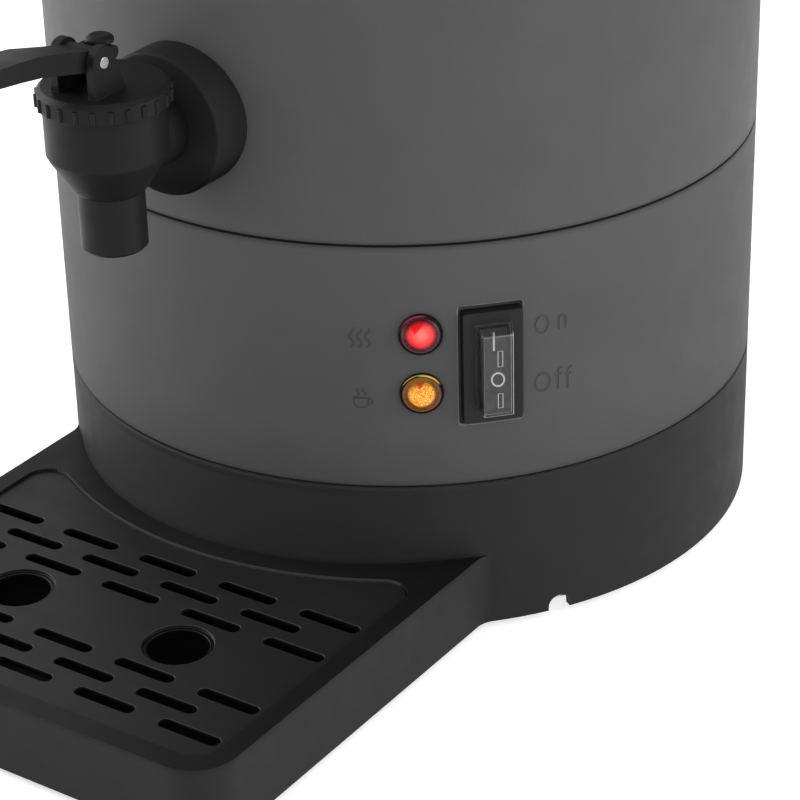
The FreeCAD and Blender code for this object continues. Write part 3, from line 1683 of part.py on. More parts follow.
def drip_grille():
    body = new_body("drip_grille")
    play = s.grille_play
    plate = outline(new_sketch(body, lift=grille_bottom), well_outline(play))
    pad(body, plate, s.grille_thick)
    # Locating rib inside the tray's wall
    inset = s.tray_play + s.tray_wall + s.rib_inset
    rib = new_sketch(body, lift=grille_bottom)
    outline(rib, well_outline(inset))
    outline(rib, well_outline(inset + s.rib_wall))
    pad(body, rib, s.rib_depth, away=True)
    middle = -grille_middle
    for side in (1, -1):
        for step in range(3):
            y = middle + side * (s.row_offset + s.row_pitch * step)
            count = 4 if step == 1 else 5
            first = -slot_pitch * (count - 1) / 2
            shape = outline(new_sketch(body, lift=grille_top), slot(s.slot_length, s.slot_width, first, y))
            in_row(body, pocket(body, shape, s.grille_thick), slot_pitch, count)
    # Finger holes with a stepped rim
    for side in (1, -1):
        x = side * s.hole_spread
        pocket(body, circle(new_sketch(body, lift=grille_top), s.hole_radius, x, middle), s.hole_step_depth)
        hole = circle(new_sketch(body, lift=grille_top), s.hole_radius - s.hole_step, x, middle)
        pocket(body, hole, s.grille_thick)
    return body


def build():
    base_skirt()
    base_plate()
    base_screws()
    foot_ring()
    control_band()
    outer_barrel()
    inner_tank()
    tie_rods()
    heat_spreader()
    heating_element()
    thermostats()
    terminal_block()
    earth_stud()
    reset_button()
    top_collar()
    lid()
    lid_seal()
    lid_knob()
    handles()
    switch()
    lamps()
    inlet()
    tap_fittings()
    tap_body()
    tap_bonnet()
    tap_lever()
    tap_stem()
    drip_tray()
    drip_grille()


def check_document():
    doc.recompute()
    for item in doc.Objects:
        if "Invalid" in item.State or "Error" in item.State:
            raise RuntimeError(f"{item.Label} is {item.State}")
    for label, thing in parts.items():
        shape = thing.Shape
        if shape.isNull() or not shape.isValid() or not shape.Solids:
            raise RuntimeError(f"{label} has no valid solid")


def export():
    os.makedirs("parts", exist_ok=True)
    for label, thing in parts.items():
        thing.Shape.exportStep(f"parts/{label}.step")
        solids = len(thing.Shape.Solids)
        print(f"{label}: {solids} solid(s), {thing.Shape.Volume / 1000:.2f} cm3")


build()
check_document()
export()
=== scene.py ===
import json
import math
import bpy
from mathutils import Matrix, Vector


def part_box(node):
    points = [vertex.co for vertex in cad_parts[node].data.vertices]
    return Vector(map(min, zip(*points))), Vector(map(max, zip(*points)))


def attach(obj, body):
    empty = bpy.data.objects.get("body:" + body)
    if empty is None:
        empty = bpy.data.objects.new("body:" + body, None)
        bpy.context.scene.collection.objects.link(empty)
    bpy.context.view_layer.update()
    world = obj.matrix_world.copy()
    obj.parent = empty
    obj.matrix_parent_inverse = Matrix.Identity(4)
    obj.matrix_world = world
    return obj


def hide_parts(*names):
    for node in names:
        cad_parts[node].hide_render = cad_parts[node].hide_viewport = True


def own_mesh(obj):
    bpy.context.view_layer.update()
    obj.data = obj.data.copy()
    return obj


bl_info = {
    "name": "Hot Water Urn",
    "version": (1, 0, 0),
    "blender": (4, 5, 0),
    "location": "3D Viewport > Sidebar > Urn",
    "description": "Dresses the urn's frame: housing, controls, tap, lid, drip tray and insides",
    "category": "Object",
}

from functools import partial

import bmesh
import bpy
from mathutils import Matrix, Vector
from mathutils.bvhtree import BVHTree

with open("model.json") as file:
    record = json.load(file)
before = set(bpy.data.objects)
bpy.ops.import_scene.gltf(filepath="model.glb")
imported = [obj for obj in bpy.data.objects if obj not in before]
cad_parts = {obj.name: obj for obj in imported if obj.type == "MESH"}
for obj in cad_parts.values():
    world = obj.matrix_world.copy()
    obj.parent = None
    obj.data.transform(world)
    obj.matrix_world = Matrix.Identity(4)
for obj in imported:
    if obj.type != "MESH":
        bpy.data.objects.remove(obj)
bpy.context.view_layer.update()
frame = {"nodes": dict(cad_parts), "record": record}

# Lengths are metres, angles radians. The frame stands with +Z up and the tap towards -Y.

NODES = frame["nodes"]
BODIES = {
    node: body
    for body, members in frame["record"]["behaviour"]["bodies"].items()
    for node in members
}

MM = 0.001
WELD = 0.002 * MM
FLAT = math.radians(0.2)
CREASE = math.radians(32)
UP = Vector((0, 0, 1))

DRUM_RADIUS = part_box("outer_barrel")[1].y
SEAM_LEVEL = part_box("outer_barrel")[0].z
BAND_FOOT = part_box("control_band")[0].z
GRILLE_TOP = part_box("drip_grille")[1].z
LEDGE_LEVEL = GRILLE_TOP + 1 * MM
# The radius of the tray well's rear, and those between which the gap over the control band lies, painted
# dark as shadow
WELL_REAR = DRUM_RADIUS + 12.2 * MM
GROOVE = (128 * MM, 129.85 * MM)
RECESS_WIDTH = 25.2 * MM
RECESS_HEIGHT = 48.4 * MM


# Places read from the frame


def centre_of(node):
    low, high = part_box(node)
    return (low + high) / 2


def outward(point):
    """Level direction from the drum's axis through a point."""
    return Vector((point.x, point.y, 0)).normalized()


def rightward(out):
    """Level direction to the right of one who faces the drum against an outward direction."""
    return Vector((-out.y, out.x, 0))


def bearing_of(point):
    """Angle round the drum, from the tap towards +X."""
    return math.atan2(point.x, -point.y)


def round_drum(bearing, radius, level):
    return Vector((radius * math.sin(bearing), -radius * math.cos(bearing), level))


def facing(point):
    """Turn whose X runs right, Y up and Z out of the drum at a point."""
    out = outward(point)
    return Matrix((rightward(out), UP, out)).transposed()


# Meshes


def plain_mesh(thing):
    """The mesh that an object's modifiers give, free of them."""
    bpy.context.view_layer.update()
    graph = bpy.context.evaluated_depsgraph_get()
    return bpy.data.meshes.new_from_object(
        thing.evaluated_get(graph), preserve_all_data_layers=True, depsgraph=graph
    )


def scratch_object(name, data):
    thing = bpy.data.objects.new(name, data)
    bpy.context.scene.collection.objects.link(thing)
    return thing


def settle(thing):
    """Applies an object's modifiers for good."""
    mesh = plain_mesh(thing)
    thing.modifiers.clear()
    thing.data = mesh


def smooth(mesh):
    mesh.shade_smooth()
    mesh.set_sharp_from_angle(angle=CREASE)


def add_piece(name, mesh, node, extra_nodes=()):
    """Links a finished mesh as a piece that rides with, and stands for, its frame node."""
    piece = scratch_object(name, mesh)
    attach(piece, BODIES[node])
    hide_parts(node, *extra_nodes)
    return piece


def add_detail(name, mesh, body, finish=None):
    """Links a finished mesh as a piece of its own that rides with a body."""
    if finish:
        mesh.materials.append(finish.material)
    piece = scratch_object(name, mesh)
    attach(piece, body)
    return piece


def welded_copy(node):
    """The node's solid as one closed mesh, with flat faces in one polygon each."""
    mesh = NODES[node].data.copy()
    mesh.name = node + "_mesh"
    mesh.materials.clear()
    work = bmesh.new()
    work.from_mesh(mesh)
    bmesh.ops.remove_doubles(work, verts=work.verts, dist=WELD)
    bmesh.ops.dissolve_limit(work, angle_limit=FLAT, verts=work.verts, edges=work.edges)
    work.to_mesh(mesh)
    work.free()
    for attribute in [a.name for a in mesh.attributes if a.name == "custom_normal"]:
        mesh.attributes.remove(mesh.attributes[attribute])
    smooth(mesh)
    return mesh


def dress(node, finish, edge, edge_finish=None):
    """Gives a node's own shape rounded edges, smooth shading and a finish."""
    thing = scratch_object("work", welded_copy(node))
    thing.data.materials.append(finish.material)
    if edge_finish:
        thing.data.materials.append(edge_finish.material)
    if edge:
        rounding = thing.modifiers.new("Edges", "BEVEL")
        rounding.width = edge
        rounding.segments = 2
        rounding.limit_method = "ANGLE"
        rounding.angle_limit = CREASE
        if edge_finish:
            rounding.material = 1
    normals = thing.modifiers.new("Normals", "WEIGHTED_NORMAL")
    normals.keep_sharp = True
    normals.weight = 100
    mesh = plain_mesh(thing)
    bpy.data.objects.remove(thing)
    return add_piece(f"{node}_finish", mesh, node)


def true_round(mesh, radius, slack=0.03 * MM):
    """Makes the shading of a mesh's faces on the drum's surface exactly round."""
    normals = [tuple(corner.vector) for corner in mesh.corner_normals]
    for face in mesh.polygons:
        off = [abs(mesh.vertices[v].co.xy.length - radius) for v in face.vertices]
        if max(off) < slack and face.normal.dot(outward(face.center)) > 0.99:
            for loop in face.loop_indices:
                corner = mesh.vertices[mesh.loops[loop].vertex_index].co
                normals[loop] = tuple(outward(corner))
    mesh.normals_split_custom_set(normals)


def cut_with(thing, tools):
    """Takes tools away from an object, whose new faces get the tools' finish, and removes the tools."""
    for tool in tools:
        cut = thing.modifiers.new("Cut", "BOOLEAN")
        cut.operation = "DIFFERENCE"
        cut.solver = "MANIFOLD"
        cut.object = tool
        cut.material_mode = "TRANSFER"
    settle(thing)
    if not thing.data.polygons:
        raise RuntimeError(f"nothing is left of {thing.name}")
    for tool in tools:
        bpy.data.objects.remove(tool)


def rib_tree():
    """Geometry Nodes tree that sets round ribs in a ring about an upright axis."""
    tree = bpy.data.node_groups.new("rib_ring", "GeometryNodeTree")
    faces = tree.interface
    for name, kind in (
        ("Count", "Int"), ("Ring Radius", "Float"), ("Rib Radius", "Float"), ("Height", "Float"),
        ("Centre", "Vector"), ("Finish", "Material"),
    ):
        faces.new_socket(name, in_out="INPUT", socket_type="NodeSocket" + kind)
    faces.new_socket("Geometry", in_out="OUTPUT", socket_type="NodeSocketGeometry")
    nodes = tree.nodes
    given = nodes.new("NodeGroupInput").outputs
    ring = nodes.new("GeometryNodeMeshCircle")
    rib = nodes.new("GeometryNodeMeshCylinder")
    rib.inputs["Vertices"].default_value = 10
    place = nodes.new("GeometryNodeInstanceOnPoints")
    real = nodes.new("GeometryNodeRealizeInstances")
    move = nodes.new("GeometryNodeTransform")
    colour = nodes.new("GeometryNodeSetMaterial")
    result = nodes.new("NodeGroupOutput")
    for source, target in (
        (given["Count"], ring.inputs["Vertices"]), (given["Ring Radius"], ring.inputs["Radius"]),
        (given["Rib Radius"], rib.inputs["Radius"]), (given["Height"], rib.inputs["Depth"]),
        (given["Centre"], move.inputs["Translation"]), (given["Finish"], colour.inputs["Material"]),
        (ring.outputs["Mesh"], place.inputs["Points"]), (rib.outputs["Mesh"], place.inputs["Instance"]),
        (place.outputs["Instances"], real.inputs["Geometry"]),
        (real.outputs["Geometry"], move.inputs["Geometry"]),
        (move.outputs["Geometry"], colour.inputs["Geometry"]),
        (colour.outputs["Geometry"], result.inputs["Geometry"]),
    ):
        tree.links.new(source, target)
    return tree


def add_ribs(name, node, finish, count, ring_radius, rib_radius, low, high):
    """Grip ribs round an upright cylinder of a node, as a piece of their own."""
    tree = bpy.data.node_groups.get("rib_ring") or rib_tree()
    thing = scratch_object("ribs", bpy.data.meshes.new("ribs"))
    ribs = thing.modifiers.new("Ribs", "NODES")
    ribs.node_group = tree
    middle = centre_of(node)
    values = {
        "Count": count, "Ring Radius": ring_radius, "Rib Radius": rib_radius, "Height": high - low,
        "Centre": (middle.x, middle.y, (low + high) / 2), "Finish": finish.material,
    }
    for item in tree.interface.items_tree:
        if item.in_out == "INPUT":
            ribs[item.identifier] = values[item.name]
    mesh = plain_mesh(thing)
    bpy.data.objects.remove(thing)
    smooth(mesh)
    return add_detail(name, mesh, BODIES[node])


def cross_recess(point, direction, reach=2.2 * MM, width=0.8 * MM, depth=1.0 * MM):
    """A cross-shaped tool that cuts a screw's recess from a point on its head."""
    work = bmesh.new()
    corners = []
    for turn in range(4):
        angle = math.pi / 2 * turn
        along = Vector((math.cos(angle), math.sin(angle)))
        side = Vector((-along.y, along.x)) * width / 2
        corners += [along * reach - side, along * reach + side, along * width / 2 + side]
    low = [work.verts.new((*corner, -depth)) for corner in corners]
    high = [work.verts.new((*corner, depth)) for corner in corners]
    work.faces.new(low[::-1])
    work.faces.new(high)
    for i in range(len(corners)):
        j = (i + 1) % len(corners)
        work.faces.new((low[i], low[j], high[j], high[i]))
    bmesh.ops.recalc_face_normals(work, faces=work.faces)
    mesh = bpy.data.meshes.new("recess")
    work.to_mesh(mesh)
    work.free()
    mesh.transform(Matrix.Translation(point) @ direction.to_track_quat("Z", "Y").to_matrix().to_4x4())
    return mesh


def recess_heads(node, direction, finish):
    """Cuts a cross recess in each screw head of a node that faces one way."""
    piece = bpy.data.objects[f"{node}_finish"]
    reach = max(v.co.dot(direction) for v in piece.data.vertices) - 0.05 * MM
    tools = []
    for face in piece.data.polygons:
        if face.normal.dot(direction) > 0.99 and face.center.dot(direction) > reach:
            mesh = cross_recess(face.center, direction)
            mesh.materials.append(finish.material)
            tools.append(scratch_object("tool", mesh))
    cut_with(piece, tools)
    smooth(piece.data)


# Signs, drawn flat with X right and Y up, and thin along Z


def ribbon(work, points, width, low, high, closed=False):
    """Adds a strip of even width, with round ends unless it is closed."""
    path = [Vector(point) for point in points]
    half = width / 2
    sizes = [half] * len(path)
    if not closed:
        steps = (0.5, 0.85, 0.98)
        start = (path[0] - path[1]).normalized() * half
        finish = (path[-1] - path[-2]).normalized() * half
        head = [path[0] + start * t for t in reversed(steps)]
        path = head + path + [path[-1] + finish * t for t in steps]
        tips = [half * math.sqrt(1 - t * t) for t in steps]
        sizes = tips[::-1] + sizes + tips
    rings = []
    count = len(path)
    for i, (point, size) in enumerate(zip(path, sizes)):
        before = path[i - 1] if closed or i else point
        after = path[(i + 1) % count] if closed or i < count - 1 else point
        along = (after - before).normalized()
        side = Vector((-along.y, along.x)) * size
        left, right = point + side, point - side
        rings.append([
            work.verts.new((*left, low)), work.verts.new((*right, low)),
            work.verts.new((*right, high)), work.verts.new((*left, high)),
        ])
    for i in range(count if closed else count - 1):
        a, b = rings[i], rings[(i + 1) % count]
        for k in range(4):
            work.faces.new((a[k], a[(k + 1) % 4], b[(k + 1) % 4], b[k]))
    if not closed:
        work.faces.new(rings[0])
        work.faces.new(rings[-1][::-1])


def oval_path(x, y, half_width, half_height, start, end, steps):
    """Points of an oval's arc from one angle to another."""
    angles = [start + (end - start) * i / steps for i in range(steps + 1)]
    return [(x + half_width * math.cos(a), y + half_height * math.sin(a)) for a in angles]


def wave_path(x, low, high, swing, turns=1.25, steps=18):
    """Points of a rising wavy line."""
    shares = [i / steps for i in range(steps + 1)]
    return [(x + swing * math.sin(2 * math.pi * turns * t), low + (high - low) * t) for t in shares]


def sign_mesh(name, draw):
    """A mesh made by drawing ribbons, with its faces turned outwards."""
    work = bmesh.new()
    draw(work)
    bmesh.ops.recalc_face_normals(work, faces=work.faces)
    mesh = bpy.data.meshes.new(name)
    work.to_mesh(mesh)
    work.free()
    return mesh


def wrap(mesh, bearing, level):
    """Lays a flat drawing on the drum."""
    for vertex in mesh.vertices:
        x, y, z = vertex.co
        vertex.co = round_drum(bearing + x / DRUM_RADIUS, DRUM_RADIUS + z, level + y)
    mesh.update()
    return mesh


# Materials


def add_node(tree, kind, inputs=None, **settings):
    """A shader node with its inputs linked to sockets or set to values."""
    made = tree.nodes.new("ShaderNode" + kind)
    for name, value in settings.items():
        setattr(made, name, value)
    for socket, value in (inputs or {}).items():
        if isinstance(value, bpy.types.NodeSocket):
            tree.links.new(value, made.inputs[socket])
        else:
            made.inputs[socket].default_value = value
    return made


class Finish:
    """A material built node by node round one Principled shader."""

    def __init__(self, name, **constants):
        self.material = bpy.data.materials.new(name)
        self.material.use_nodes = True
        self.tree = self.material.node_tree
        self.shader = self.tree.nodes["Principled BSDF"]
        self.place = self.node("TexCoord").outputs["Object"]
        for socket, value in constants.items():
            self.set(socket.replace("_", " "), value)

    def node(self, kind, inputs=None, **settings):
        return add_node(self.tree, kind, inputs, **settings)

    def set(self, socket, value):
        if isinstance(value, bpy.types.NodeSocket):
            self.tree.links.new(value, self.shader.inputs[socket])
        elif socket.endswith("Color"):
            self.shader.inputs[socket].default_value = (*value[:3], 1)
        else:
            self.shader.inputs[socket].default_value = value

    def noise(self, size, detail=2.0, place=None, roughness=0.5):
        made = self.node(
            "TexNoise",
            {"Vector": place or self.place, "Scale": 1 / size, "Detail": detail, "Roughness": roughness},
        )
        return made.outputs["Fac"]

    def remap(self, value, low, high, from_low=0.0, from_high=1.0):
        made = self.node(
            "MapRange",
            {"Value": value, "From Min": from_low, "From Max": from_high, "To Min": low, "To Max": high},
        )
        return made.outputs["Result"]

    def maths(self, operation, first, second=0.0):
        return self.node("Math", {0: first, 1: second}, operation=operation).outputs[0]

    def times(self, first, second):
        return self.maths("MULTIPLY", first, second)

    def most(self, first, second):
        return self.maths("MAXIMUM", first, second)

    def off(self, value, level=0.0):
        """How far a value lies from a level, either way."""
        return self.maths("ABSOLUTE", self.maths("SUBTRACT", value, level))

    def vector(self, operation, first, second, output="Value"):
        return self.node("VectorMath", {0: first, 1: second}, operation=operation).outputs[output]

    def blend(self, share, first, second):
        """Mixes two colours, or colour sockets."""
        made = self.node("Mix", data_type="RGBA")
        for index, value in ((0, share), (6, first), (7, second)):
            if isinstance(value, bpy.types.NodeSocket):
                self.tree.links.new(value, made.inputs[index])
            else:
                made.inputs[index].default_value = (*value[:3], 1) if index else value
        return made.outputs[2]

    def axis(self, name):
        return self.node("SeparateXYZ", {0: self.place}).outputs[name]

    def near(self, axis, level, reach):
        """Share that rises from 0 to 1 as a point nears a level on one axis."""
        share = self.remap(self.off(self.axis(axis), level), 1.0, 0.0, 0.0, reach)
        return self.maths("POWER", share, 1.5)

    def past(self, axis, start, end):
        """Share that rises from 0 to 1 between two levels on one axis."""
        return self.remap(self.axis(axis), 0.0, 1.0, start, end)

    def aside(self, start, end):
        """Share that rises from 0 to 1 with the distance to either side of the urn's middle plane."""
        return self.remap(self.off(self.axis("X")), 0.0, 1.0, start, end)

    def tone(self, share, colour):
        """Turns the base colour towards another one where share is 1."""
        self.colour = self.blend(share, self.colour, colour)
        self.set("Base Color", self.colour)

    def bump(self, height, depth):
        made = self.node("Bump", {"Height": height, "Distance": depth, "Strength": 1.0})
        return made.outputs["Normal"]


def shade(colour, factor):
    return tuple(channel * factor for channel in colour[:3])


def moulded(name, colour, roughness, grain=0.35 * MM, depth=0.012 * MM, specular=0.3):
    """Moulded or coated plastic: fine grain, faint mottling and uneven gloss."""
    made = Finish(name)
    cloud = made.times(made.noise(22 * MM, 3.0), 0.7)
    fine = made.times(made.noise(1.4 * MM), 0.3)
    share = made.remap(made.maths("ADD", cloud, fine), 0.0, 1.0, 0.3, 0.7)
    made.colour = made.blend(share, shade(colour, 0.95), shade(colour, 1.05))
    made.set("Base Color", made.colour)
    made.set("Roughness", made.remap(made.noise(9 * MM), roughness - 0.04, roughness + 0.04, 0.3, 0.7))
    made.set("Normal", made.bump(made.noise(grain), depth))
    made.set("Specular IOR Level", specular)
    return made


def brushed(name, colour, roughness):
    """Metal with fine level lines."""
    made = Finish(name, Metallic=1.0)
    lines = made.node("Mapping", {"Vector": made.place, "Scale": (0.02, 0.02, 1.0)}).outputs["Vector"]
    streak = made.noise(0.25 * MM, 3.0, lines)
    made.set("Base Color", made.blend(made.noise(14 * MM), shade(colour, 0.92), shade(colour, 1.05)))
    made.set("Roughness", made.remap(streak, roughness - 0.07, roughness + 0.07, 0.3, 0.7))
    made.set("Normal", made.bump(streak, 0.004 * MM))
    return made


def plated(name, colour, roughness):
    """Plated or cast metal with a slightly cloudy skin."""
    made = Finish(name, Metallic=1.0)
    made.set("Base Color", made.blend(made.noise(3 * MM, 3.0), shade(colour, 0.86), shade(colour, 1.06)))
    made.set("Roughness", made.remap(made.noise(0.8 * MM), roughness - 0.06, roughness + 0.06, 0.3, 0.7))
    made.set("Normal", made.bump(made.noise(0.5 * MM), 0.006 * MM))
    return made


def zinc_plate(name):
    return plated(name, (0.58, 0.59, 0.61), 0.35)


def soft_silicone(name):
    return moulded(name, (0.40, 0.40, 0.41), 0.5, specular=0.4)


# Lamps

# Radii on both lamps' lenses, of the ring with a painted highlight and where the edge turns dark, and
# the size of the amber disc's grains
HIGHLIGHT_RING = 6.2 * MM
DARK_RING = (6.45 * MM, 6.75 * MM)
GRAIN = 0.6 * MM

# Places are from the lens's middle, with X right and Y up. The tip is that of the disc's deeper wedge.
# Each arc on the holder's rim, a painted reflection of the lens's glow, has a colour, a radius, half its
# width, its direction and its half angle.
RED_LOOK = {
    "granular": False,
    "disc": 4.75 * MM,
    "centre": (0.0, 0.75 * MM),
    "tip": (-2.2 * MM, 0.9 * MM),
    "deep": (0.95, 0.002, 0.008),
    "side": (0.090, 0.032, 0.038),
    "foot": (0.075, 0.016, 0.020),
    "crescent": (0.045, 0.001, 0.004),
    "arcs": (
        ((0.11, 0.012, 0.026), 6.95 * MM, 0.62 * MM, 120, 50),
        ((0.25, 0.036, 0.066), 6.95 * MM, 0.50 * MM, 108, 30),
    ),
}
AMBER_LOOK = {
    "granular": True,
    "disc": 4.5 * MM,
    "centre": (-0.1 * MM, 0.75 * MM),
    "tip": (-0.9 * MM, 2.6 * MM),
    "deep": (0.62, 0.045, 0.001),
    "side": (0.14, 0.058, 0.022),
    "foot": (0.16, 0.045, 0.005),
    "crescent": (0.20, 0.090, 0.012),
    "arcs": (
        ((0.50, 0.32, 0.05), 7.25 * MM, 0.22 * MM, 124, 27),
        ((0.82, 0.54, 0.10), 6.9 * MM, 0.60 * MM, 66, 34),
    ),
}


class LampFinish(Finish):
    """A finish drawn in the plane of a lamp, from its middle, with X right and Y up."""

    def __init__(self, name, lens, **constants):
        super().__init__(name, **constants)
        point = centre_of(lens)
        local = self.node(
            "Mapping", {"Vector": self.place, "Location": point, "Rotation": facing(point).to_euler()},
            vector_type="TEXTURE",
        ).outputs["Vector"]
        self.flat = self.vector("MULTIPLY", local, (1, 1, 0), "Vector")

    def away(self, centre=(0, 0)):
        """Distance from a point of the plane."""
        return self.vector("DISTANCE", self.flat, (*centre, 0))

    def along(self, angle, centre=(0, 0)):
        """How far a point lies from a centre in one direction, in degrees from the right."""
        course = math.radians(angle)
        moved = self.vector("SUBTRACT", self.flat, (*centre, 0), "Vector")
        return self.vector("DOT_PRODUCT", moved, (math.cos(course), math.sin(course), 0))

    def arc(self, radius, half, angle, spread):
        """Share of an arc: a ring's part that lies towards one side."""
        ring = self.remap(self.off(self.away(), radius), 1.0, 0.0, half * 0.3, half)
        side = self.remap(self.along(angle), 0.0, 1.0, radius * math.cos(math.radians(spread)), radius)
        return self.times(ring, self.maths("POWER", side, 0.6))

    def grains(self, disc, away):
        """Share of the bright grains on a granular disc."""
        cells = self.node("TexVoronoi", {"Vector": self.flat, "Scale": 1 / GRAIN}, feature="F1")
        grain = self.remap(cells.outputs["Distance"], 0.85, 0.0, 0.1, 0.7)
        fleck = self.remap(self.noise(0.45 * MM, 2.0, self.flat, 0.7), -0.4, 0.7, 0.35, 0.65)
        share = self.maths("ADD", grain, fleck)
        return self.times(self.remap(share, 0.0, 1.0, 0.25, 0.78), self.remap(away, 1.0, 0.75, 0, disc))

    def wedge(self, tip):
        """Share of a wedge that opens upwards from its tip."""
        across = self.times(self.off(self.along(-8, tip)), 1.5)
        return self.remap(self.maths("SUBTRACT", self.along(82, tip), across), 0.0, 0.9, 0.0, 0.9 * MM)


def lit_lens(name, lens, look, glow, core, strength):
    """A lens whose disc glows behind a dull, tinted and uneven ring with a thin painted highlight at its
    edge.
    """
    made = LampFinish(name, lens, Roughness=0.12, Specular_IOR_Level=0.08)
    disc, centre, side = look["disc"], look["centre"], look["side"]
    away = made.away(centre)
    if look["granular"]:
        share = made.grains(disc, away)
    else:
        warm = made.away((centre[0] + 0.3 * MM, centre[1] + 0.5 * MM))
        share = made.maths("POWER", made.remap(warm, 1.1, 0.0, 0.0, disc), 1.4)
    colour = made.blend(share, glow, core)
    # The disc's top is deeper in colour, and so is a wedge that points to its middle
    colour = made.blend(made.wedge(look["tip"]), colour, look["deep"])
    top = made.remap(made.along(105, centre), 0.0, 1.0, disc * 0.45, disc * 0.95)
    colour = made.blend(made.times(top, 0.8), colour, shade(look["deep"], 0.5))
    ring = made.blend(made.remap(made.along(-75), 0.0, 1.0, -1 * MM, 6 * MM), side, look["foot"])
    cloud = made.noise(1.1 * MM, 3.0, made.flat, 0.6)
    ring = made.blend(made.remap(cloud, 0.0, 0.9, 0.5, 0.62), ring, shade(look["foot"], 0.5))
    # A thin ring of painted highlight at the lens's edge
    edge = made.remap(made.off(made.away(), HIGHLIGHT_RING), 0.5, 0.0, 0.1 * MM, 0.35 * MM)
    ring = made.blend(edge, ring, [channel * 1.3 + 0.04 for channel in side])
    crescent = made.times(made.remap(away, 1.0, 0.0, disc * 1.15, disc * 1.4), top)
    ring = made.blend(crescent, ring, look["crescent"])
    dark = made.remap(made.away(), 0.0, 1.0, *DARK_RING)
    ring = made.blend(dark, ring, shade(side, 0.1))
    shown = made.blend(made.remap(away, 1.0, 0.0, disc * 0.86, disc * 1.1), ring, colour)
    made.set("Base Color", shade(side, 0.08))
    made.set("Emission Color", shown)
    made.set("Emission Strength", strength)
    return made


def rim_with_painted_arcs(name, lens, arcs):
    """A black lamp holder whose rim shows the lens's light along arcs of painted reflection."""
    made = LampFinish(name, lens, Roughness=0.5, Specular_IOR_Level=0.08)
    made.set("Base Color", (0.004, 0.004, 0.004))
    shown = (0, 0, 0)
    # Arcs of painted reflection of the lens's glow, drawn as emission on the holder
    for colour, *shape in arcs:
        shown = made.blend(made.arc(*shape), shown, colour)
    made.set("Emission Color", shown)
    made.set("Emission Strength", 1.0)
    return made


# Cover


def clear_cover(name, tint, out, reach):
    """Soft clear plastic, milky where its face has been rubbed."""
    made = Finish(name, Specular_IOR_Level=0.16)
    outer = made.vector("DOT_PRODUCT", made.place, out)
    face = made.remap(outer, 0.0, 1.0, reach - 1.2 * MM, reach - 0.2 * MM)
    veil = made.noise(6 * MM)
    rubbed = made.blend(veil, shade(tint, 0.9), tint)
    made.set("Base Color", made.blend(face, shade(tint, 0.18), rubbed))
    made.set("Alpha", made.times(made.remap(face, 0.26, 0.11), made.remap(veil, 0.9, 1.1)))
    made.set("Roughness", made.remap(face, 0.12, 0.25))
    return made


def cover_edge(name, centre, out, reach):
    """The clear cover's edges: a milky painted highlight on the face's right and foot, fainter on its
    top and left.
    """
    made = Finish(name, Roughness=0.3, Specular_IOR_Level=0.4)
    right = rightward(out)
    across = made.vector("DOT_PRODUCT", made.place, right)
    level = made.axis("Z")
    side = centre.dot(right)
    share = made.remap(across, 0.0, 1.0, side + 3.5 * MM, side + 4.8 * MM)
    for value, full, start, end in (
        (level, 1.0, centre.z - 13.5 * MM, centre.z - 14.6 * MM),
        (level, 0.4, centre.z + 13.9 * MM, centre.z + 14.7 * MM),
        (across, 0.3, side - 3.8 * MM, side - 4.8 * MM),
    ):
        share = made.most(share, made.remap(value, 0.0, full, start, end))
    outer = made.vector("DOT_PRODUCT", made.place, out)
    share = made.times(share, made.remap(outer, 0.15, 1.0, reach - 2.2 * MM, reach - 1.2 * MM))
    # Milky painted highlight where the edges catch the light
    made.set("Base Color", made.blend(share, (0.16, 0.16, 0.17), (0.85, 0.85, 0.86)))
    cloud = made.remap(made.noise(2 * MM), 0.85, 1.0)
    made.set("Alpha", made.times(cloud, made.remap(share, 0.35, 0.95)))
    return made


# Sizes and colours that a user would change


class UrnFinishes(bpy.types.PropertyGroup):
    housing_colour: bpy.props.FloatVectorProperty(
        name="Housing", description="Coated outer barrel", subtype="COLOR", size=3,
        default=(0.100, 0.100, 0.100),
    )
    band_colour: bpy.props.FloatVectorProperty(
        name="Control band", description="Moulded band round the controls", subtype="COLOR", size=3,
        default=(0.102, 0.102, 0.102),
    )
    base_colour: bpy.props.FloatVectorProperty(
        name="Base", description="Moulded base skirt", subtype="COLOR", size=3,
        default=(0.0263, 0.0263, 0.0263),
    )
    trim_colour: bpy.props.FloatVectorProperty(
        name="Trim", description="Tap, handles, lid and collar", subtype="COLOR", size=3,
        default=(0.012, 0.012, 0.012),
    )
    tray_colour: bpy.props.FloatVectorProperty(
        name="Drip tray", description="Tray's grille", subtype="COLOR", size=3,
        default=(0.015, 0.015, 0.015),
    )
    edge_round: bpy.props.FloatProperty(
        name="Edge rounding", description="Radius on moulded edges", unit="LENGTH", default=0.35 * MM,
        min=0.0,
    )
    mark_depth: bpy.props.FloatProperty(
        name="Mark depth", description="How deep the signs sink into the band", unit="LENGTH",
        default=0.2 * MM, min=0.05 * MM,
    )


class UrnLamps(bpy.types.PropertyGroup):
    red_glow: bpy.props.FloatVectorProperty(
        name="Heating lamp", description="Colour of the red lamp's disc", subtype="COLOR", size=3,
        default=(0.92, 0.032, 0.042),
    )
    red_core: bpy.props.FloatVectorProperty(
        name="Heating lamp core", description="Hot middle of the red lamp", subtype="COLOR", size=3,
        default=(1.0, 0.24, 0.20),
    )
    amber_glow: bpy.props.FloatVectorProperty(
        name="Keep-warm lamp", description="Colour of the amber lamp's disc", subtype="COLOR", size=3,
        default=(0.95, 0.25, 0.014),
    )
    amber_core: bpy.props.FloatVectorProperty(
        name="Keep-warm lamp core", description="Grains of the amber lamp", subtype="COLOR", size=3,
        default=(1.0, 0.82, 0.18),
    )
    strength: bpy.props.FloatProperty(
        name="Glow", description="Strength of both lamps", default=1.0, min=0.0
    )


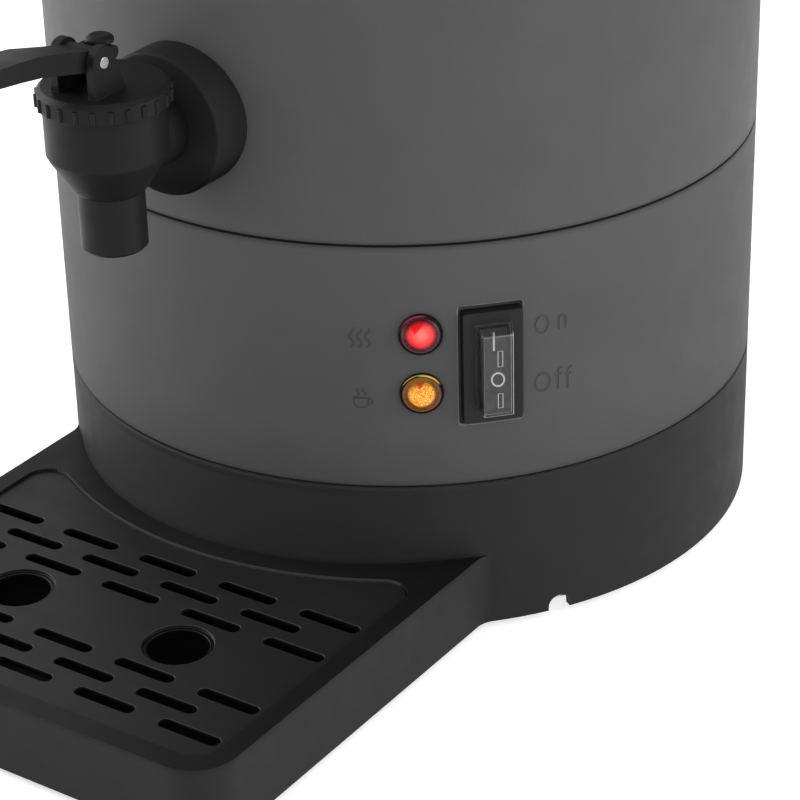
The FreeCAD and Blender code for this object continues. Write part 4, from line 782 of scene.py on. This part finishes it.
class UrnStudio(bpy.types.PropertyGroup):
    world_light: bpy.props.FloatProperty(
        name="World", description="Strength of the even light from all round", default=0.84, min=0.0
    )
    key_power: bpy.props.FloatProperty(
        name="Key lamp", description="Power of the lamp at the right", default=6.6, unit="POWER", min=0.0
    )
    fill_power: bpy.props.FloatProperty(
        name="Fill lamp", description="Power of the lamp at the left", default=12.0, unit="POWER",
        min=0.0,
    )
    lens: bpy.props.FloatProperty(
        name="Lens", description="Focal length on a 36 mm sensor, in millimetres", default=126.8,
        min=10.0,
    )


# Studio

CAMERA_BEARING = math.radians(34.6)
CAMERA_ELEVATION = math.radians(27.73)
CAMERA_ROLL = -0.0261
CAMERA_POINT = Vector((0.5518, -0.8076, 0.5397))

KEY_BEARING = math.radians(108)
FILL_BEARING = math.radians(-72)
LAMP_DISTANCE = 1.3
LAMP_LEVEL = 0.55
LAMP_TARGET = 0.2
LAMP_WIDTH = 0.8
LAMP_HEIGHT = 1.1


class URN_OT_stage(bpy.types.Operator):
    """Sets the floor, the lamps, the world and the camera"""

    bl_idname = "urn.stage"
    bl_label = "Stage"

    def execute(self, context):
        studio = context.scene.urn_studio
        for name in ("Cube", "Light", "Camera"):
            if name in bpy.data.objects:
                bpy.data.objects.remove(bpy.data.objects[name])
        self.camera(context, studio)
        self.floor()
        self.world(context, studio)
        self.lamp("key_lamp", KEY_BEARING, studio.key_power)
        self.lamp("fill_lamp", FILL_BEARING, studio.fill_power)
        context.scene.view_settings.view_transform = "Standard"
        return {"FINISHED"}

    def camera(self, context, studio):
        data = bpy.data.cameras.new("camera")
        data.lens = studio.lens
        data.sensor_width = 36
        camera = scratch_object("camera", data)
        a, e = CAMERA_BEARING, CAMERA_ELEVATION
        back = Vector((math.sin(a) * math.cos(e), -math.cos(a) * math.cos(e), math.sin(e)))
        level = Vector((math.cos(a), math.sin(a), 0))
        upright = back.cross(level)
        right = level * math.cos(CAMERA_ROLL) + upright * math.sin(CAMERA_ROLL)
        top = upright * math.cos(CAMERA_ROLL) - level * math.sin(CAMERA_ROLL)
        turn = Matrix((right, top, back)).transposed().to_4x4()
        camera.matrix_world = Matrix.Translation(CAMERA_POINT) @ turn
        data.clip_start = 0.05
        context.scene.camera = camera

    def floor(self):
        mesh = bpy.data.meshes.new("floor")
        reach = 6.0
        corners = [(-reach, -reach, 0), (reach, -reach, 0), (reach, reach, 0), (-reach, reach, 0)]
        mesh.from_pydata(corners, [], [(0, 1, 2, 3)])
        made = Finish("pale_floor", Roughness=0.8)
        speck = made.noise(40 * MM, 3.0)
        made.set("Base Color", made.blend(speck, (0.78, 0.78, 0.78), (0.80, 0.80, 0.80)))
        made.set("Specular IOR Level", 0.1)
        path = made.node("LightPath").outputs
        seen = made.most(path["Is Camera Ray"], path["Is Glossy Ray"])
        seen = made.most(seen, path["Is Transmission Ray"])
        made.set("Emission Color", (1, 1, 1))
        made.set("Emission Strength", made.times(seen, 0.6))
        mesh.materials.append(made.material)
        scratch_object("floor", mesh)

    def world(self, context, studio):
        """Even light from all round, which shows as plain white."""
        world = bpy.data.worlds.new("studio")
        world.use_nodes = True
        tree = world.node_tree
        path = add_node(tree, "LightPath").outputs
        seen = path["Is Camera Ray"]
        for kind in ("Is Glossy Ray", "Is Transmission Ray"):
            seen = add_node(tree, "Math", {0: seen, 1: path[kind]}, operation="MAXIMUM").outputs[0]
        levels = {"Value": seen, "To Min": studio.world_light, "To Max": 1.0}
        strength = add_node(tree, "MapRange", levels).outputs["Result"]
        background = tree.nodes["Background"]
        background.inputs["Color"].default_value = (1, 1, 1, 1)
        tree.links.new(strength, background.inputs["Strength"])
        context.scene.world = world

    def lamp(self, name, bearing, power):
        """A tall soft box beside the urn."""
        data = bpy.data.lights.new(name, "AREA")
        data.shape = "RECTANGLE"
        data.size = LAMP_WIDTH
        data.size_y = LAMP_HEIGHT
        data.energy = power
        lamp = scratch_object(name, data)
        lamp.location = round_drum(bearing, LAMP_DISTANCE, LAMP_LEVEL)
        aim = Vector((0, 0, LAMP_TARGET)) - lamp.location
        lamp.rotation_euler = aim.to_track_quat("-Z", "Y").to_euler()


# Housing


class URN_OT_housing(bpy.types.Operator):
    """Dresses the base skirt, control band, barrel, collar and foot ring"""

    bl_idname = "urn.housing"
    bl_label = "Housing"

    def execute(self, context):
        look = context.scene.urn_finishes
        edge = look.edge_round
        for node, finish in (
            ("base_skirt", self.base_plastic(look.base_colour)),
            ("control_band", self.band_plastic(look.band_colour)),
            ("outer_barrel", self.barrel_coating(look.housing_colour)),
        ):
            piece = dress(node, finish, edge)
            true_round(piece.data, DRUM_RADIUS)
        dress("top_collar", moulded("collar_plastic", look.trim_colour, 0.45, 0.4 * MM), edge)
        rubber = moulded("foot_rubber", (0.02, 0.02, 0.02), 0.8, 0.5 * MM, 0.03 * MM, 0.2)
        dress("foot_ring", rubber, edge)
        # The bay's flat top is a darker copy of the skirt's plastic as painted shade, darker still
        # towards its sides
        flat = moulded("ledge_shaded_plastic", shade(look.base_colour, 0.45), 0.5, 0.4 * MM, specular=0.12)
        flat.tone(flat.aside(10 * MM, 112 * MM), shade(look.base_colour, 0.21))
        # The lip over the grille is a lighter copy of the skirt's plastic, a painted highlight
        self.ledge(flat, moulded("well_lip_highlight", shade(look.base_colour, 2.6), 0.4, 0.4 * MM))
        # A painted highlight on the recess's rim
        self.recess(moulded("recess_rim_highlight", shade(look.band_colour, 2.0), 0.35, depth=0.008 * MM))
        # A painted shadow in the gap under the barrel
        self.groove(moulded("seam_shadow", (0.013, 0.013, 0.013), 0.8, 0.4 * MM, specular=0.0))
        return {"FINISHED"}

    def barrel_coating(self, colour):
        """The barrel's coating, with painted shade where it nears the seam."""
        made = moulded("barrel_coating", colour, 0.58, 0.3 * MM, specular=0.12)
        # Painted shade by the seam
        made.tone(made.near("Z", SEAM_LEVEL, 1.6 * MM), shade(colour, 0.6))
        return made

    def band_plastic(self, colour):
        """The band's plastic, with painted light towards its top and painted shade towards its foot and
        at both seams.
        """
        made = moulded("band_plastic", colour, 0.6, specular=0.05)
        # Painted light towards the top and painted shade towards the foot
        upper = made.past("Z", SEAM_LEVEL - 36 * MM, SEAM_LEVEL)
        lower = made.past("Z", BAND_FOOT + 22 * MM, BAND_FOOT)
        made.tone(made.times(upper, 0.7), shade(colour, 1.08))
        made.tone(made.times(lower, 0.7), shade(colour, 0.83))
        # Painted shade at both seams
        made.tone(made.near("Z", SEAM_LEVEL - 1 * MM, 2.2 * MM), shade(colour, 0.6))
        made.tone(made.near("Z", BAND_FOOT, 2.2 * MM), shade(colour, 0.65))
        return made

    def base_plastic(self, colour):
        """The skirt's plastic, with a painted highlight at its upper edge and painted shade at the foot
        of the bay's wall.
        """
        made = moulded("base_plastic", colour, 0.6, 0.4 * MM, 0.02 * MM, 0.10)
        # Painted highlight along the skirt's top edge
        made.tone(made.near("Z", BAND_FOOT - 1.2 * MM, 1.8 * MM), shade(colour, 1.3))
        # Painted shade where the bay's wall meets the ledge
        corner = made.times(made.near("Z", LEDGE_LEVEL, 3 * MM), made.past("Y", -92 * MM, -104 * MM))
        made.tone(corner, shade(colour, 0.6))
        return made

    def ledge(self, flat, lip):
        """The bay's flat top, darker than the walls as painted shade, and the lip over the grille,
        lighter as a painted highlight.
        """
        mesh = bpy.data.objects["base_skirt_finish"].data
        mesh.materials.append(flat.material)
        mesh.materials.append(lip.material)
        for face in mesh.polygons:
            point = face.center
            past_rear = point.xy.length - WELL_REAR
            rise = point.z - LEDGE_LEVEL
            if point.y > 0:
                continue
            if face.normal.z > 0.999 and abs(rise) < 1 * MM:
                face.material_index = 1
            elif -0.7 * MM < past_rear < 3 * MM and rise < 0.1 * MM and face.normal.z < 0.9:
                face.material_index = 2

    def recess(self, finish):
        """The rim of the recess round the switch, lighter as a painted highlight."""
        mesh = bpy.data.objects["control_band_finish"].data
        mesh.materials.append(finish.material)
        middle = centre_of("switch_boot")
        turn = facing(middle).transposed()
        for face in mesh.polygons:
            place = turn @ (face.center - middle)
            tilt = (turn @ face.normal).z
            inside = abs(place.x) < RECESS_WIDTH / 2 and abs(place.y) < RECESS_HEIGHT / 2
            if inside and place.z > -6 * MM and 0.15 < tilt < 0.97:
                face.material_index = 1

    def groove(self, finish):
        """The gap between the control band and the barrel, painted dark as shadow."""
        mesh = bpy.data.objects["control_band_finish"].data
        mesh.materials.append(finish.material)
        inner, outer = GROOVE
        for face in mesh.polygons:
            if inner < face.center.xy.length < outer and abs(face.center.z - SEAM_LEVEL) < 1.6 * MM:
                face.material_index = 2


# Words and signs

# From the lamps' bearing to the middle of their signs, along the drum, and the signs' heights
SIGN_GAP = 20.7 * MM
HEAT_LEVEL = 117.3 * MM
CUP_LEVEL = 94.3 * MM


class URN_OT_signs(bpy.types.Operator):
    """Sinks the words and signs into the control band"""

    bl_idname = "urn.signs"
    bl_label = "Signs"

    def execute(self, context):
        look = context.scene.urn_finishes
        # The sunk signs take a darker copy of the band's plastic, painted shade in their hollows
        mark = moulded("sign_hollow_shade", shade(look.band_colour, 0.84), 0.65, specular=0.05)
        band = bpy.data.objects["control_band_finish"]
        switch = bearing_of(centre_of("switch_boot"))
        lamp = bearing_of(centre_of("red_lamp_lens")) - SIGN_GAP / DRUM_RADIUS
        drawings = [(switch, 0.0, stroke) for stroke in self.words()]
        drawings.append((lamp, HEAT_LEVEL, self.heat))
        drawings.append((lamp, CUP_LEVEL, self.cup))
        drawings.append((lamp, CUP_LEVEL, self.cup_handle))
        tools = []
        for bearing, level, draw in drawings:
            flat = sign_mesh("sign", partial(draw, low=-look.mark_depth, high=1 * MM))
            mesh = wrap(flat, bearing, level)
            mesh.materials.append(mark.material)
            tools.append(scratch_object("tool", mesh))
        cut_with(band, tools)
        smooth(band.data)
        true_round(band.data, DRUM_RADIUS)
        return {"FINISHED"}

    def words(self):
        """The strokes of the words On and Off, in millimetres from the switch's middle and the floor."""
        full = (0, 2 * math.pi, 36)
        arch = oval_path(25.1, 117.8, 1.3, 1.6, math.radians(160), 0, 8)
        strokes = [
            (oval_path(17.5, 117.5, 2.4, 3.15, *full)[:-1], True),
            ([(23.8, 114.6 + 0.8 * i) for i in range(7)], False),
            (arch + [(26.4, 116.2), (26.4, 114.6)], False),
            (oval_path(17.75, 95.4, 2.7, 3.4, *full)[:-1], True),
        ]
        for stem, level in ((23.6, 91.9), (27.3, 91.4)):
            hook = oval_path(stem + 1.0, level + 6.5, 1.0, 1.2, math.pi, math.radians(70), 7)
            strokes.append(([(stem, level + rise) for rise in (0, 2.2, 4.4)] + hook, False))
            strokes.append(([(stem + side, level + 5.3) for side in (-0.9, 0, 1.2)], False))
        return [partial(self.stroke, path=path, closed=closed) for path, closed in strokes]

    def stroke(self, work, low, high, path, closed):
        ribbon(work, [(x * MM, y * MM) for x, y in path], 1.0 * MM, low, high, closed)

    def heat(self, work, low, high):
        """Three waves of rising heat."""
        for x in (-2.7 * MM, 0, 2.7 * MM):
            ribbon(work, wave_path(x, -3.2 * MM, 3.2 * MM, 0.75 * MM), 1.0 * MM, low, high)

    def cup(self, work, low, high):
        """A cup under two wisps of steam."""
        bowl = [(-2.6, 0.2), (2.6, 0.2), (2.3, -2.4), (1.5, -3.3), (-1.5, -3.3), (-2.3, -2.4)]
        ribbon(work, [(x * MM, y * MM) for x, y in bowl], 0.8 * MM, low, high, closed=True)
        for x in (-1.1 * MM, 1.1 * MM):
            ribbon(work, wave_path(x, 1.4 * MM, 3.5 * MM, 0.35 * MM, 1.0), 0.7 * MM, low, high)

    def cup_handle(self, work, low, high):
        end = math.radians(75)
        points = oval_path(2.75 * MM, -1.1 * MM, 1.1 * MM, 1.1 * MM, end, -end, 10)
        ribbon(work, points, 0.7 * MM, low, high)


# Insides


class URN_OT_insides(bpy.types.Operator):
    """Dresses the tank, the heater and the parts inside the base"""

    bl_idname = "urn.insides"
    bl_label = "Insides"

    def execute(self, context):
        steel = brushed("tank_steel", (0.62, 0.62, 0.63), 0.3)
        zinc = zinc_plate("zinc_plating")
        cast = plated("cast_aluminium", (0.72, 0.72, 0.73), 0.5)
        sheath = plated("element_sheath", (0.42, 0.40, 0.38), 0.42)
        brass = plated("brass", (0.78, 0.58, 0.26), 0.32)
        ceramic = moulded("ceramic", (0.72, 0.69, 0.62), 0.7, 0.3 * MM, 0.02 * MM, 0.3)
        black = moulded("terminal_black", (0.02, 0.02, 0.021), 0.5)
        red = moulded("reset_red", (0.55, 0.02, 0.02), 0.4)
        silicone = soft_silicone("silicone")
        finishes = {
            steel: ("inner_tank",),
            zinc: ("base_plate", "base_screws", "tie_rods", "tie_rod_nuts", "handle_screws"),
            cast: ("heat_spreader",),
            sheath: ("heating_element",),
            ceramic: ("boil_thermostat", "keep_warm_thermostat", "dry_boil_cutout", "terminal_block"),
            brass: ("earth_stud", "switch_terminals"),
            black: ("reset_housing", "lamp_nuts"),
            red: ("reset_button",),
            silicone: ("tap_washer_outer", "tap_washer_inner"),
        }
        for finish, nodes in finishes.items():
            for node in nodes:
                dress(node, finish, 0.1 * MM)
        # The screws' cross recesses are painted dark as shade
        recess_heads("base_screws", -UP, moulded("base_recess_shade", (0.03, 0.03, 0.03), 0.6))
        return {"FINISHED"}


# Controls

# The cover's raised bars and the rocker's marks, in millimetres from the cover's middle, X right, Y up
BAR_SIDES = (-0.36, 1.27)
BAR_LEVELS = ((3.7, 9.5), (-11.9, -6.5))
STROKE = [(-0.1, 6.8 + 0.8 * i) for i in range(9)]
RING_MIDDLE = (0.94, -3.87)
RING_RADIUS = 2.15


class URN_OT_controls(bpy.types.Operator):
    """Dresses the switch, the pilot lamps and the power inlet"""

    bl_idname = "urn.controls"
    bl_label = "Controls"

    def execute(self, context):
        black = moulded("switch_plastic", (0.0145, 0.0145, 0.015), 0.45, 0.3 * MM, 0.008 * MM, 0.2)
        gloss = moulded("rocker_plastic", (0.021, 0.021, 0.022), 0.3, 0.3 * MM, 0.004 * MM, 0.3)
        dress("switch_housing", black, 0.25 * MM)
        dress("switch_rocker", gloss, 0.3 * MM)
        self.cover()
        self.rocker_marks()
        lamps = context.scene.urn_lamps
        self.lamp("red", RED_LOOK, lamps.red_glow, lamps.red_core, lamps.strength)
        self.lamp("amber", AMBER_LOOK, lamps.amber_glow, lamps.amber_core, lamps.strength)
        dress("inlet_housing", black, 0.3 * MM)
        zinc = zinc_plate("contact_zinc")
        brass = plated("contact_brass", (0.78, 0.60, 0.30), 0.3)
        dress("inlet_pins", brass, 0.2 * MM)
        dress("inlet_screws", zinc, 0.1 * MM)
        recess_heads("inlet_screws", Vector((0, 1, 0)), moulded("recess_shade", (0.03, 0.03, 0.03), 0.6))
        dress("rocker_pin", zinc, 0.1 * MM)
        return {"FINISHED"}

    def lamp(self, colour, look, glow, core, strength):
        """A pilot lamp's holder and lens."""
        lens = f"{colour}_lamp_lens"
        dress(f"{colour}_lamp_holder", rim_with_painted_arcs(f"{colour}_rim", lens, look["arcs"]), 0.1 * MM)
        dress(lens, lit_lens(f"{colour}_lens", lens, look, glow, core, strength), 0)

    def cover(self):
        """The clear cover, with painted highlights on its edges and two raised bars on its face."""
        centre = centre_of("switch_boot")
        out = outward(centre)
        face = max(v.co.dot(out) for v in NODES["switch_boot"].data.vertices)
        clear = clear_cover("cover_plastic", (0.34, 0.34, 0.345), out, face)
        dress("switch_boot", clear, 0.14 * MM, edge_finish=cover_edge("cover_painted_highlights", centre, out, face))

        def bars(work):
            left, right = (side * MM for side in BAR_SIDES)
            for low, high in BAR_LEVELS:
                corners = [(left, low * MM), (right, low * MM), (right, high * MM), (left, high * MM)]
                ribbon(work, corners, 0.22 * MM, -0.1 * MM, 0.08 * MM, closed=True)

        white = moulded("bar_plastic", (0.62, 0.62, 0.63), 0.4, 0.3 * MM, 0.004 * MM, 0.4)
        mesh = sign_mesh("cover_bars", bars)
        seat = Matrix.Translation(UP * centre.z + out * face) @ facing(centre).to_4x4()
        mesh.transform(seat)
        add_detail("cover_bars", mesh, BODIES["switch_boot"], white)

    def rocker_marks(self):
        """The white stroke and ring, printed on the rocker's two faces."""
        white = moulded("mark_white", (0.92, 0.92, 0.92), 0.5, 0.3 * MM, 0.002 * MM, 0.3)
        centre = centre_of("switch_boot")
        seat = Matrix.Translation(UP * centre.z) @ facing(centre).to_4x4()

        def marks(work):
            ribbon(work, [(x * MM, y * MM) for x, y in STROKE], 0.7 * MM, 0.0, 1.0)
            ring = oval_path(*RING_MIDDLE, RING_RADIUS, RING_RADIUS, 0, 2 * math.pi, 40)
            ribbon(work, [(x * MM, y * MM) for x, y in ring[:-1]], 0.6 * MM, 0.0, 1.0, closed=True)

        mesh = sign_mesh("rocker_marks", marks)
        mesh.transform(seat)
        out = outward(centre)
        rocker = bpy.data.objects["switch_rocker_finish"].data
        corners = [vertex.co for vertex in rocker.vertices]
        tree = BVHTree.FromPolygons(corners, [tuple(face.vertices) for face in rocker.polygons])
        # The drawing is 1 m thick here, and each of its points then drops onto the rocker
        for vertex in mesh.vertices:
            outer = vertex.co.dot(out) > 0.5
            flat = vertex.co - out * vertex.co.dot(out)
            hit = tree.ray_cast(flat + out * 0.2, -out)[0]
            vertex.co = hit + out * (0.05 * MM if outer else -0.2 * MM)
        add_detail("rocker_marks", mesh, BODIES["switch_rocker"], white)


# Handles and lid

KNOB_GRIP = {
    "count": 32,
    "ring_radius": 20.5 * MM,
    "rib_radius": 0.75 * MM,
    "low": 465.4 * MM,
    "high": 471.0 * MM,
}


class URN_OT_handles(bpy.types.Operator):
    """Dresses the handles, the lid, its knob and its seal"""

    bl_idname = "urn.handles"
    bl_label = "Handles and lid"

    def execute(self, context):
        look = context.scene.urn_finishes
        black = moulded("handle_plastic", look.trim_colour, 0.42, 0.4 * MM)
        for node in ("handle_right", "handle_left", "lid", "lid_knob"):
            dress(node, black, look.edge_round)
        add_ribs("knob_ribs", "lid_knob", black, **KNOB_GRIP)
        dress("lid_seal", soft_silicone("seal_silicone"), 0.2 * MM)
        dress("knob_screw", zinc_plate("knob_zinc"), 0.1 * MM)
        return {"FINISHED"}


# Tap

BONNET_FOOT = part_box("tap_bonnet")[0].z
BONNET_GRIP = {
    "count": 24,
    "ring_radius": 21.4 * MM,
    "rib_radius": 0.9 * MM,
    "low": BONNET_FOOT + 0.5 * MM,
    "high": BONNET_FOOT + 4.6 * MM,
}


class URN_OT_tap(bpy.types.Operator):
    """Dresses the tap and its valve"""

    bl_idname = "urn.tap"
    bl_label = "Tap"

    def execute(self, context):
        look = context.scene.urn_finishes
        black = moulded("tap_plastic", look.trim_colour, 0.45, 0.35 * MM, 0.008 * MM, 0.12)
        steel = plated("pin_steel", (0.6, 0.6, 0.62), 0.25)
        # The boss is a darker copy of the trim plastic as painted shade, painted lighter towards its top
        # and darker towards its foot
        dull = moulded("boss_shaded_plastic", (0.0025, 0.0025, 0.0025), 0.5, 0.35 * MM, 0.008 * MM, 0.05)
        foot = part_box("tap_boss")[0].z
        dull.tone(dull.past("Z", foot + 6 * MM, foot + 17 * MM), (0.022, 0.022, 0.022))
        dress("tap_boss", dull, look.edge_round)
        for node in ("tap_sleeve", "tap_nut", "tap_body", "tap_bonnet", "tap_lever", "tap_stem"):
            dress(node, black, look.edge_round)
        add_ribs("bonnet_ribs", "tap_bonnet", black, **BONNET_GRIP)
        dress("tap_seat_cup", soft_silicone("cup_silicone"), 0.2 * MM)
        spring = dress("tap_spring", steel, 0)
        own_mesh(spring)
        dress("lever_pin", steel, 0.2 * MM)
        return {"FINISHED"}


# Drip tray


class URN_OT_tray(bpy.types.Operator):
    """Dresses the drip tray and its slotted grille"""

    bl_idname = "urn.tray"
    bl_label = "Drip tray"

    def execute(self, context):
        look = context.scene.urn_finishes
        colour = look.tray_colour
        grille = moulded("grille_plastic", colour, 0.45, 0.4 * MM, specular=0.14)
        tray = moulded("tray_plastic", shade(colour, 0.25), 0.5, 0.4 * MM, specular=0.05)
        # The grille's edges get a lighter copy of its plastic, a painted highlight
        rim = moulded("grille_rim_highlight", shade(colour, 2.3), 0.4, 0.4 * MM)
        # Painted shade towards the grille's sides
        grille.tone(grille.times(grille.aside(62 * MM, 105 * MM), 0.8), shade(colour, 0.62))
        # The slots and finger holes are painted dark inside as shade
        for finish in (grille, rim):
            depth = finish.past("Z", GRILLE_TOP - 0.4 * MM, GRILLE_TOP - 1.0 * MM)
            finish.tone(depth, shade(colour, 0.12))
        dress("drip_tray", tray, look.edge_round)
        dress("drip_grille", grille, look.edge_round, edge_finish=rim)
        return {"FINISHED"}


# Panel and steps


class URN_PT_urn(bpy.types.Panel):
    bl_label = "Hot Water Urn"
    bl_space_type = "VIEW_3D"
    bl_region_type = "UI"
    bl_category = "Urn"

    def draw(self, context):
        for operator in STEPS:
            self.layout.operator(operator.bl_idname)
        for group in (context.scene.urn_finishes, context.scene.urn_lamps, context.scene.urn_studio):
            box = self.layout.box()
            for name in group.bl_rna.properties.keys():
                if name not in ("rna_type", "name"):
                    box.prop(group, name)


STEPS = (
    URN_OT_stage,
    URN_OT_housing,
    URN_OT_signs,
    URN_OT_insides,
    URN_OT_controls,
    URN_OT_handles,
    URN_OT_tap,
    URN_OT_tray,
)
CLASSES = (UrnFinishes, UrnLamps, UrnStudio, *STEPS, URN_PT_urn)


def register():
    for item in CLASSES:
        bpy.utils.register_class(item)
    bpy.types.Scene.urn_finishes = bpy.props.PointerProperty(type=UrnFinishes)
    bpy.types.Scene.urn_lamps = bpy.props.PointerProperty(type=UrnLamps)
    bpy.types.Scene.urn_studio = bpy.props.PointerProperty(type=UrnStudio)


def unregister():
    del bpy.types.Scene.urn_studio
    del bpy.types.Scene.urn_lamps
    del bpy.types.Scene.urn_finishes
    for item in reversed(CLASSES):
        bpy.utils.unregister_class(item)


def main():
    register()
    bpy.ops.urn.stage()
    bpy.ops.urn.housing()
    bpy.ops.urn.signs()
    bpy.ops.urn.insides()
    bpy.ops.urn.controls()
    bpy.ops.urn.handles()
    bpy.ops.urn.tap()
    bpy.ops.urn.tray()


if __name__ == "__main__":
    main()
